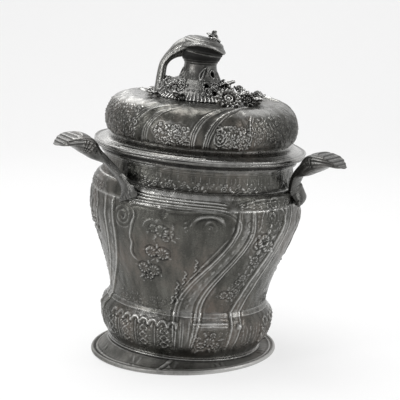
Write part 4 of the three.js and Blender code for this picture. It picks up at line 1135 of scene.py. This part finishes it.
HOOD_LINE = smooth([(0, 0.1), (15, 0.1), (22.9, 0.2), (23.6, 2.6), (24.7, 5), (26, 7.2), (26.7, 8.6),
                    (26.6, 9.8), (25.6, 10.5), (24.4, 10.3), (23.4, 10.9), (22.2, 12), (20.6, 12.6),
                    (19.6, 13.6), (17, 14.6), (13, 15.6), (7, 16.5), (0, 16.8)], 8)
hood = turned(HOOD_LINE, [], 300, 0.6)
for v in hood.verts:
    lip_share = min(1, max(0, (math.hypot(v.co.x, v.co.y) - 22.4) / 3.6))
    right_drop = 4.8 * min(1, max(0, (v.co.x - 6) / 18)) ** 1.5
    left_drop = 6.6 * min(1, max(0, (-v.co.x - 4) / 20)) ** 1.3
    v.co.z -= lip_share * (right_drop + left_drop)
piece("hood", hood, "lid", ["knob_hood"], CAST, ON_HOOD, hood_relief)

# %% [markdown]
# ## Bars and straps
#
# The loop of the knob and the handles are bent and hammered bars. A bar starts as a straight rod:
# one circle of points, extruded a step at a time. Each point keeps its share of the length. This
# and its turn around the rod lay it along a path, with a width and a thickness that change on
# the way and ridges drawn on top.

# %% A straight rod and how it is bent
def rod(around, steps):
    """A closed rod, one unit long and one in radius, whose points know their share of its length."""
    bm = bmesh.new()
    share = bm.verts.layers.float.new("share")
    ring = bmesh.ops.create_circle(bm, cap_ends=False, segments=around, radius=1)["verts"]
    edges = list({e for v in ring for e in v.link_edges})
    bmesh.ops.holes_fill(bm, edges=edges, sides=around)
    for i in range(1, steps + 1):
        grown = bmesh.ops.extrude_edge_only(bm, edges=edges)["geom"]
        edges = [g for g in grown if isinstance(g, bmesh.types.BMEdge)]
        ring = [g for g in grown if isinstance(g, bmesh.types.BMVert)]
        bmesh.ops.translate(bm, vec=(0, 0, 1 / steps), verts=ring)
        for v in ring:
            v[share] = i / steps
    bmesh.ops.holes_fill(bm, edges=edges, sides=around)
    face_outwards(bm)
    return bm


def bent(bm, path, faces, sizes, ridges, square=(0.8, 0.7)):
    """Lays a rod along a path. Faces are the directions that its top looks in, and sizes its half
    width and half thickness along the way. Ridges returns each point's new place across the
    section. Square holds the powers that shape the section: 1 is round, less is boxier."""
    layer = bm.verts.layers.float["share"]
    verts = list(bm.verts)
    share = np.array([v[layer] for v in verts])
    turn = np.array([math.atan2(v.co.y, v.co.x) for v in verts])
    steps = np.linspace(0, 1, len(path))

    def at(table):
        return np.stack([np.interp(share, steps, table[:, k]) for k in range(table.shape[1])], 1)

    along = np.gradient(path, axis=0)
    along /= np.linalg.norm(along, axis=1)[:, None]
    top = faces - (faces * along).sum(1)[:, None] * along
    top /= np.linalg.norm(top, axis=1)[:, None]
    side = np.cross(along, top)
    half = at(sizes)
    x = np.sign(np.cos(turn)) * np.abs(np.cos(turn)) ** square[0] * half[:, 0]
    y = np.sign(np.sin(turn)) * np.abs(np.sin(turn)) ** square[1] * half[:, 1]
    x, y = ridges(share, turn, x, y)
    placed = at(path) + at(side) * x[:, None] + at(top) * y[:, None]
    for v, co in zip(verts, placed):
        v.co = co
    face_outwards(bm)
    return bm


# %% The loop on the knob
LOOP = [(-2, 349.4, 8.2, 17), (-9.4, 348.8, 9, 17.5), (-17.4, 346.8, 9.8, 16), (-25.2, 342.4, 8.8, 12),
        (-31.4, 337.8, 6.4, 8.4), (-36.8, 332.4, 5.1, 6.4), (-40.8, 325.6, 4.7, 5.5),
        (-42.2, 318, 4.9, 5.3), (-42.8, 310, 5.3, 5.8), (-43, 302, 5.8, 6.8), (-43.8, 292.6, 6.4, 8)]


def loop_ridges(share, turn, x, y):
    """Grooves along the bar, deepest on its outer side."""
    along = np.clip(share / 0.12, 0, 1) * np.clip((1 - share) / 0.2, 0, 1)
    up = np.sin(turn)
    ridge = 0.09 * bump(up + 0.12, 0.2)
    grooves = 0.08 * bump(up + 0.5, 0.2) + 0.08 * bump(up - 0.35, 0.22)
    grown = 1 + along * (ridge - grooves)
    return x * grown, y * grown


line = smooth([(x, 0, z) for x, z, _, _ in LOOP], 10)
thick = smooth([(wide, high) for _, _, high, wide in LOOP], 10)
outward = np.stack([np.gradient(-line[:, 2]), np.zeros(len(line)), np.gradient(line[:, 0])], 1)
bar = bent(rod(72, 110), line, -outward, thick, loop_ridges, (1, 1))
piece("loop", bar, "lid", ["knob_loop"], TOUCHED_AND_LIT, ON_KNOB)

# %% [markdown]
# ## Cast flowers
#
# The finial and the sprays at the knob's foot are small castings soldered on. A blossom is spun
# like the big castings, from a ringed profile, and then its rings are pushed up and out into
# petals. A leaf is a flat grid of faces, drawn in to a tip, cupped and given thickness with
# `solidify`. The rest are mounds of small blossoms and berries with leaves around them.

# %% Leaves and flowers
LEAF_LOBES = 2
GOLDEN_ANGLE = 137.5


def blade(length, width, cup, curl, veins, thick):
    """A leaf along X from the origin, with its face up."""
    bm = bmesh.new()
    bmesh.ops.create_grid(bm, x_segments=14, y_segments=10, size=0.5)
    for v in bm.verts:
        along, across = v.co.x + 0.5, v.co.y * 2
        outline = max(0, math.sin(math.pi * min(1, 0.08 + 0.92 * along))) ** 0.45 + 0.02
        outline *= 1 + 0.16 * math.cos(LEAF_LOBES * math.tau * along)
        lift = cup * width * 0.5 * across * across + curl * length * along * along
        lift += veins * (abs(across) ** 0.5 - 0.6) + veins * 0.45 * math.cos(along * 24 - abs(across) * 5)
        v.co = (along * length, across * outline * width * 0.5, lift)
    bmesh.ops.remove_doubles(bm, verts=bm.verts, dist=0.02)
    face_outwards(bm)
    bmesh.ops.solidify(bm, geom=bm.faces[:], thickness=thick)
    return bm


def add(heap, part, place):
    """Adds a part to a heap at a place and frees the part."""
    mesh = mesh_from(part, "part")
    mesh.transform(place)
    heap.from_mesh(mesh)
    bpy.data.meshes.remove(mesh)


def ball(radius):
    bm = bmesh.new()
    bmesh.ops.create_uvsphere(bm, u_segments=16, v_segments=10, radius=radius)
    return bm


def spin_at(turn, tilt, move=(0, 0, 0)):
    """A turn about Z after a tilt that lifts what lies along X, both in degrees."""
    return (Matrix.Rotation(math.radians(turn), 4, "Z") @ Matrix.Rotation(math.radians(-tilt), 4, "Y")
            @ Matrix.Translation(move))


def blossom(radius, petals=11, around=66):
    """An open flower that faces +Z, spun from a ringed profile: its rings are then pushed into
    petals, the inner ones standing between the outer ones."""
    line = [(0, 0.34), (0.1, 0.36), (0.17, 0.2), (0.23, 0.2), (0.3, 0.36), (0.38, 0.3), (0.45, 0.06),
            (0.52, 0.08), (0.62, 0.36), (0.7, 0.4), (0.78, 0.3), (0.88, 0.34), (1.0, 0.16), (0.97, -0.04)]
    outside = even(smooth(line, 6), 0.04) * radius
    flower = turned(outside[::-1], [(0, -0.22 * radius), (0.7 * radius, -0.22 * radius)], around, None)
    for v in flower.verts:
        share = math.hypot(v.co.x, v.co.y) / radius
        turn = math.atan2(v.co.y, v.co.x)
        inner = math.cos(petals * turn) * min(1, max(0, (share - 0.45) / 0.12)) * (share < 0.78)
        outer = -math.cos(petals * turn) * min(1, max(0, (share - 0.76) / 0.1))
        v.co.z += 0.13 * radius * (inner + outer) * (v.co.z > -0.1 * radius)
        v.co.xy *= 1 + 0.1 * outer + 0.05 * inner
    return flower


def cluster(radius, seed, count=9):
    """A mound of small blossoms and berries, each facing outwards."""
    heap = bmesh.new()
    chance = np.random.default_rng(seed)
    add(heap, ball(radius * 0.8), Matrix.Identity(4))
    for k in range(count):
        lift = chance.uniform(0, 80)
        size = radius * chance.uniform(0.36, 0.56)
        place = spin_at(k * GOLDEN_ANGLE + chance.uniform(-15, 15), lift, (radius * 0.78, 0, 0))
        part = blossom(size, 5, 30) if k % 3 else ball(size * 0.6)
        add(heap, part, place @ Matrix.Rotation(math.pi / 2, 4, "Y"))
    return heap


def spray_leaf(length, width, seed):
    """A broad leaf and two side leaves under a few small blossoms."""
    heap = cluster(width * 0.42, seed, 7)
    add(heap, blade(length, width * 1.1, 0.35, 0.05, 0.55, 1.1), spin_at(0, 6, (-width * 0.3, 0, 0)))
    for turn in (48, -52):
        add(heap, blade(length * 0.7, width * 0.8, 0.4, 0.1, 0.45, 1.0), spin_at(turn, 12))
    add(heap, cluster(width * 0.36, seed + 1, 6), Matrix.Translation((length * 0.5, 0, 0.6)))
    return heap


def bud(radius, stalk):
    """A bunch of blossoms on a leafy stalk that reaches down to the lid."""
    heap = cluster(radius * 1.05, int(stalk * 10), 12)
    for k in range(4):
        part = blade(radius * 1.9, radius * 1.3, 0.5, 0.2, 0.3, 0.8)
        add(heap, part, Matrix.Translation((0, 0, -radius * 0.7)) @ spin_at(90 * k + 20, 20, (0.4, 0, 0)))
    stem = bmesh.new()
    bmesh.ops.create_cone(stem, cap_ends=True, segments=20, radius1=radius * 0.8,
                          radius2=radius * 0.5, depth=stalk)
    add(heap, stem, Matrix.Translation((0, 0, -stalk / 2)))
    return heap


# %% The finial and the sprays
FINIAL_OFFSET = 9
FINIAL_LEVEL = 17.2
ON_FINIAL = ON_HOOD @ Matrix.Translation((FINIAL_OFFSET, 0, FINIAL_LEVEL))
crown = cluster(5.4, 3, 14)
for turn, tilt, length in [(0, -28, 9.6), (50, -12, 8.4), (110, 8, 8.6), (170, 14, 8.8),
                           (230, 8, 8.6), (300, -10, 8.6)]:
    part = blade(length, 6, 0.4, 0.1, 0.4, 1.2)
    add(crown, part, Matrix.Translation((0, 0, 0.6)) @ spin_at(turn, tilt))
add(crown, cluster(3.2, 5, 8), Matrix.Translation((0.6, 0, 5.6)))
piece("finial", crown, "lid", ["knob_finial"], CAST, ON_FINIAL, rounds=3, full=0.3)

SPRAYS = {
    "spray_right_rose": (blossom(13, 13, 130), (25, -60, 6.0), 42, -76),
    "spray_right_flower": (blossom(8, 9, 90), (47, -40, 5.4), 54, -62),
    "spray_right_leaf_front": (spray_leaf(17, 10, 61), (52, -31, 3), -4, -22),
    "spray_right_leaf_middle": (spray_leaf(20, 12, 62), (35, -27, 5), -14, 18),
    "spray_right_leaf_top": (spray_leaf(24, 11, 63), (14, -18, 13.4), -12, 12),
    "spray_right_bud_tall": (bud(4.4, 12), (38, -6, 12.4), 14, 0),
    "spray_right_bud_end": (bud(5.4, 7.4), (59, -14, 7.8), 6, 0),
    "spray_left_rose": (blossom(7.6, 9, 90), (-33, -26, 9.8), 58, -110),
    "spray_left_leaf_front": (spray_leaf(18, 10, 64), (-24, -45, 3.6), -10, -150),
    "spray_left_leaf_side": (spray_leaf(15, 7, 65), (-51, -30, 2), -4, -158),
    "spray_left_bud": (bud(3.2, 3.4), (-60, -12, 3.2), -8, 0),
}
for name, (heap, (x, y, z), tilt, turn) in SPRAYS.items():
    place = LEANING @ Matrix.Translation((x, y, DOME_TOP + z)) @ spin_at(turn, -tilt)
    finish = TOUCHED_AND_LIT if name.endswith("rose") else CAST
    piece(name + "_cast", heap, "lid", [name], finish, place, rounds=3, full=0.3)

# %% [markdown]
# ## The handles
#
# Each handle is one bent bar: from claws on the shoulder it climbs as a grooved strap, with a low
# step on the way, then turns outwards and spreads into a wing of layered feathers that ends in a
# blunt tip with a bead for an eye. All three have the same stations along their length.

# %% Stations of a handle
THICKNESS = 7
WIDTH = 18
REACH = 180
CLEAR = RIM_RADIUS + THICKNESS / 2 + 0.5


def seat(share):
    """A radius on the shoulder's slope, half a handle's thickness out."""
    return NECK_RADIUS + 1.4 + 12 * share + THICKNESS / 2 + 0.5


HANDLE_STATIONS = [
    (0, seat(0.96), WALL_TOP + 1.7, 1.3, 0.7), (0.03, seat(0.88), WALL_TOP + 5.1, 1.45, 1),
    (0.1, seat(0.72), WALL_TOP + 9.9, 1.15, 1), (0.22, seat(0.5), WALL_TOP + 15.3, 1, 1),
    (0.4, seat(0.36), SHOULDER_TOP + 4, 0.95, 1), (0.62, seat(0.62), NECK_TOP - 8.8, 0.95, 1.05),
    (0.78, CLEAR + 1.1, NECK_TOP - 1.5, 1, 1.1), (0.9, CLEAR + 8, NECK_TOP + 6, 1.3, 1.3),
    (0.96, CLEAR + 18.2, RIM_TOP + 4, 1.9, 1.7), (1, CLEAR + 29.6, RIM_TOP + 7, 2.3, 1.9),
    (1, CLEAR + 40.5, RIM_TOP + 7, 2.1, 1.6), (1, CLEAR + 49.6, RIM_TOP + 5, 1.4, 1.1),
    (1, REACH - 1, RIM_TOP + 3, 0.5, 0.5),
]
LAST = len(HANDLE_STATIONS) - 1


def handle_ridges(share, turn, x, y):
    """Grooves on the strap, claws at its root, feathers that end in steps on the wing, and a
    bead for the eye on each of its sides."""
    t = share * LAST
    up = np.sin(turn)
    strap = np.clip((t - 1) / 0.6, 0, 1) * np.clip((7.4 - t) / 1.2, 0, 1)
    out = 0.8 * np.cos(x * 1.7) * strap * (up > 0)
    out += np.clip((3.9 - t) / 0.1, 0, 1) * np.clip(t, 0, 1)
    out -= 1.6 * np.clip(1.6 - t, 0, 1) * bump((x + 3.6) % 7.2 - 3.6, 1.6)
    wing = np.clip((t - 7.0) / 0.8, 0, 1)
    feathers = np.abs(np.sin((y + 0.6 * (t - 8)) * 1.05)) ** 0.6 - 0.6
    out += 1.5 * wing * feathers * np.clip((12 - t) / 0.6, 0.3, 1)
    out += 1.5 * bump(np.hypot((t - 10.9) * 8, (up + 0.25) * 6), 2.2)
    scales = np.cos(turn * 14 + t * 9) * np.cos(turn * 14 - t * 9)
    out += 0.5 * bump(t - 8.2, 0.9) * scales * (up < 0.4)
    x = x + out * np.cos(turn)
    y = y + 0.5 * out * up
    y = y - 7.5 * bump(t - 7.9, 2.1) * np.clip(-up, 0, 1)
    y = y + 1.6 * bump(t - 8.8, 2.2) * np.clip(up, 0, 1)
    steps = np.clip((t - 9.0) / 0.55, 0, 5)
    lowered = np.floor(steps) + np.clip((steps % 1) * 4, 0, 1)
    cap = 8.2 - 1.75 * lowered
    return x, np.where(t > 9, np.minimum(y, cap), y)


def handle(tip, root):
    """The mesh of one handle, from the angles of its tip and its root."""
    centres = []
    outwards = []
    for share, radius, level, _, _ in HANDLE_STATIONS:
        angle = math.radians(root + (tip - root) * share)
        outwards.append((math.sin(angle), -math.cos(angle), 0))
        centres.append((radius * math.sin(angle), -radius * math.cos(angle), level))
    path = smooth(centres, 10)
    outward = smooth(outwards, 10)
    sizes = smooth([(wide * WIDTH / 2, thick * THICKNESS / 2)
                    for _, _, _, wide, thick in HANDLE_STATIONS], 10)
    lean = np.minimum(1, np.linspace(0, LAST, len(path)) / 9)[:, None]
    faces = -outward * (1 - lean) + np.array([0, 0, 1]) * lean
    return bent(rod(132, 190), path, faces, np.maximum(sizes, 0.6), handle_ridges)


for name, tip, root in [("left", -60, -36), ("right", 60, 70), ("back", 180, 196)]:
    piece(f"handle_{name}_wing", handle(tip, root), "vessel", [f"handle_{name}"], CAST,
          rounds=4, full=0.3)

# %% [markdown]
# ## Inside
#
# Under the lid hangs the fire pan, on a ledge in the neck. It is sheet iron, black with soot. The
# pan and the ledge are turned anew so that they are truly round. The ears, rivets, grate and feet
# keep their solids and only take the sooted finish.

# %% Ledge, pan and grate
ledge = turned([(91.1, 215.2), (99.1, 215.2), (99.1, 208.7), (102.9, 208.7), (102.9, 220.1), (101.9, 220.1),
                (101.1, 217.7), (91.1, 217.7)], [], 240, 1.0)
piece("ledge", ledge, "vessel", ["pan_ledge"], SOOT)
pan_line = smooth([(0, 126), (30, 126), (62, 126), (72, 127.6), (79, 132), (83.6, 140), (87, 170),
                   (91, 212), (92.6, 217.6), (96, 218.2), (99, 218.4), (99.8, 219.4), (98.8, 220.6)], 8)
pan_inside = [(91.6, 220.4), (89.4, 217), (84.6, 170), (81.2, 141), (77, 133.6), (70.6, 129.8), (62, 128.4),
              (0, 128.4)]
piece("pan", turned(pan_line, pan_inside, 240, 1.6), "fire_pan", ["fire_pan"], SOOT)
KEPT_STARTS = ("pan_ear", "pan_rivet", "fire_grate", "grate_foot")
kept = [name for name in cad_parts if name.startswith(KEPT_STARTS)]
for name in kept:
    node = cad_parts[name]
    node.data.materials.clear()
    node.data.materials.append(SOOT)
print(len(kept), "nodes keep their solids")

# %% [markdown]
# ## Studio
#
# The photograph was taken with a long lens, so the camera stands 1.6 m away and looks eleven
# degrees down. The floor runs back to a white wall. For the camera and for reflections both are
# nearly white, while the light that they throw on the object stays soft and plain.

# %% The camera
FRAME_WIDTH = 36.0
FOCAL_SHARE = 1439.0 / 400.0        # focal length over the frame's width
CAMERA_PLACE = (0.0196, -1.599, 0.4909)
CAMERA_DIP = 0.196
camera_data = bpy.data.cameras.new("camera")
camera_data.sensor_width = FRAME_WIDTH
camera_data.lens = FRAME_WIDTH * FOCAL_SHARE
camera_data.clip_end = 20
camera = in_scene("camera", camera_data)
camera.location = CAMERA_PLACE
camera.rotation_euler = (math.radians(90) - CAMERA_DIP, 0, 0)
bpy.context.scene.camera = camera
print("lens", round(camera_data.lens, 1), "mm")

# %% Floor, backdrop and world
WHITE = (1.0, 1.0, 1.0)
FLOOR_WHITE = (0.8, 0.8, 0.8)
GLOW = 1.05
GLOW_SHARE = 0.66
SKY_LIGHT = 0.5
FLOOR_HALF = 8
COVE_START = 1.4
COVE_RADIUS = 0.9
BACK_HEIGHT = 5

studio = Finish("studio white")
paths = studio.tree.nodes.new("ShaderNodeLightPath")
seen, glossy, through = (Wire(studio, paths.outputs[f"Is {kind} Ray"])
                         for kind in ("Camera", "Glossy", "Transmission"))
lit_up = (seen + (glossy + through)).clamp() * GLOW_SHARE
plain = studio.node("ShaderNodeBsdfDiffuse", None, {"Color": FLOOR_WHITE})
glow = studio.node("ShaderNodeEmission", None, {"Color": WHITE, "Strength": GLOW})
blend = studio.node("ShaderNodeMixShader", None, {0: lit_up, 1: plain, 2: glow})
output = studio.tree.nodes["Material Output"]
studio.tree.links.new(blend.socket, output.inputs["Surface"])

bm = bmesh.new()
edge = [bm.verts.new((x, -FLOOR_HALF, 0)) for x in (-FLOOR_HALF, FLOOR_HALF)]
front = bm.edges.new(edge)
cove = [(-FLOOR_HALF, 0)]
for a in np.linspace(0, math.pi / 2, 16):
    cove.append((COVE_START + COVE_RADIUS * math.sin(a), COVE_RADIUS - COVE_RADIUS * math.cos(a)))
cove.append((COVE_START + COVE_RADIUS, BACK_HEIGHT))
for (y0, z0), (y1, z1) in zip(cove, cove[1:]):
    grown = bmesh.ops.extrude_edge_only(bm, edges=[front])
    front = next(e for e in grown["geom"] if isinstance(e, bmesh.types.BMEdge))
    bmesh.ops.translate(bm, vec=(0, y1 - y0, z1 - z0), verts=list(front.verts))
mesh = mesh_from(bm, "floor")
mesh.shade_smooth()
mesh.materials.append(studio.material)
floor = in_scene("floor", mesh)

world = bpy.data.worlds.new("studio")
bpy.context.scene.world = world
world.use_nodes = True
sky = world.node_tree.nodes["Background"]
sky.inputs["Color"].default_value = (*WHITE, 1)
sky.inputs["Strength"].default_value = SKY_LIGHT

# %% Lamps
LAMP_AIM = Vector((0, 0, 0.2))


def lamp(name, place, size, watts):
    data = bpy.data.lights.new(name, "AREA")
    data.shape = "RECTANGLE"
    data.size, data.size_y = size
    data.energy = watts
    made = in_scene(name, data)
    made.location = place
    made.rotation_euler = (LAMP_AIM - Vector(place)).to_track_quat("-Z", "Y").to_euler()


lamp("overhead", (-0.15, 0.15, 1.6), (0.9, 0.7), 14)
lamp("behind", (-0.5, 1.0, 1.3), (1.0, 0.7), 6)
lamp("left", (-1.5, -0.9, 0.9), (0.4, 1.1), 10)
lamp("right", (1.5, -0.5, 0.8), (0.3, 1.0), 6)
bpy.context.scene.view_settings.view_transform = "Standard"
print("studio ready")
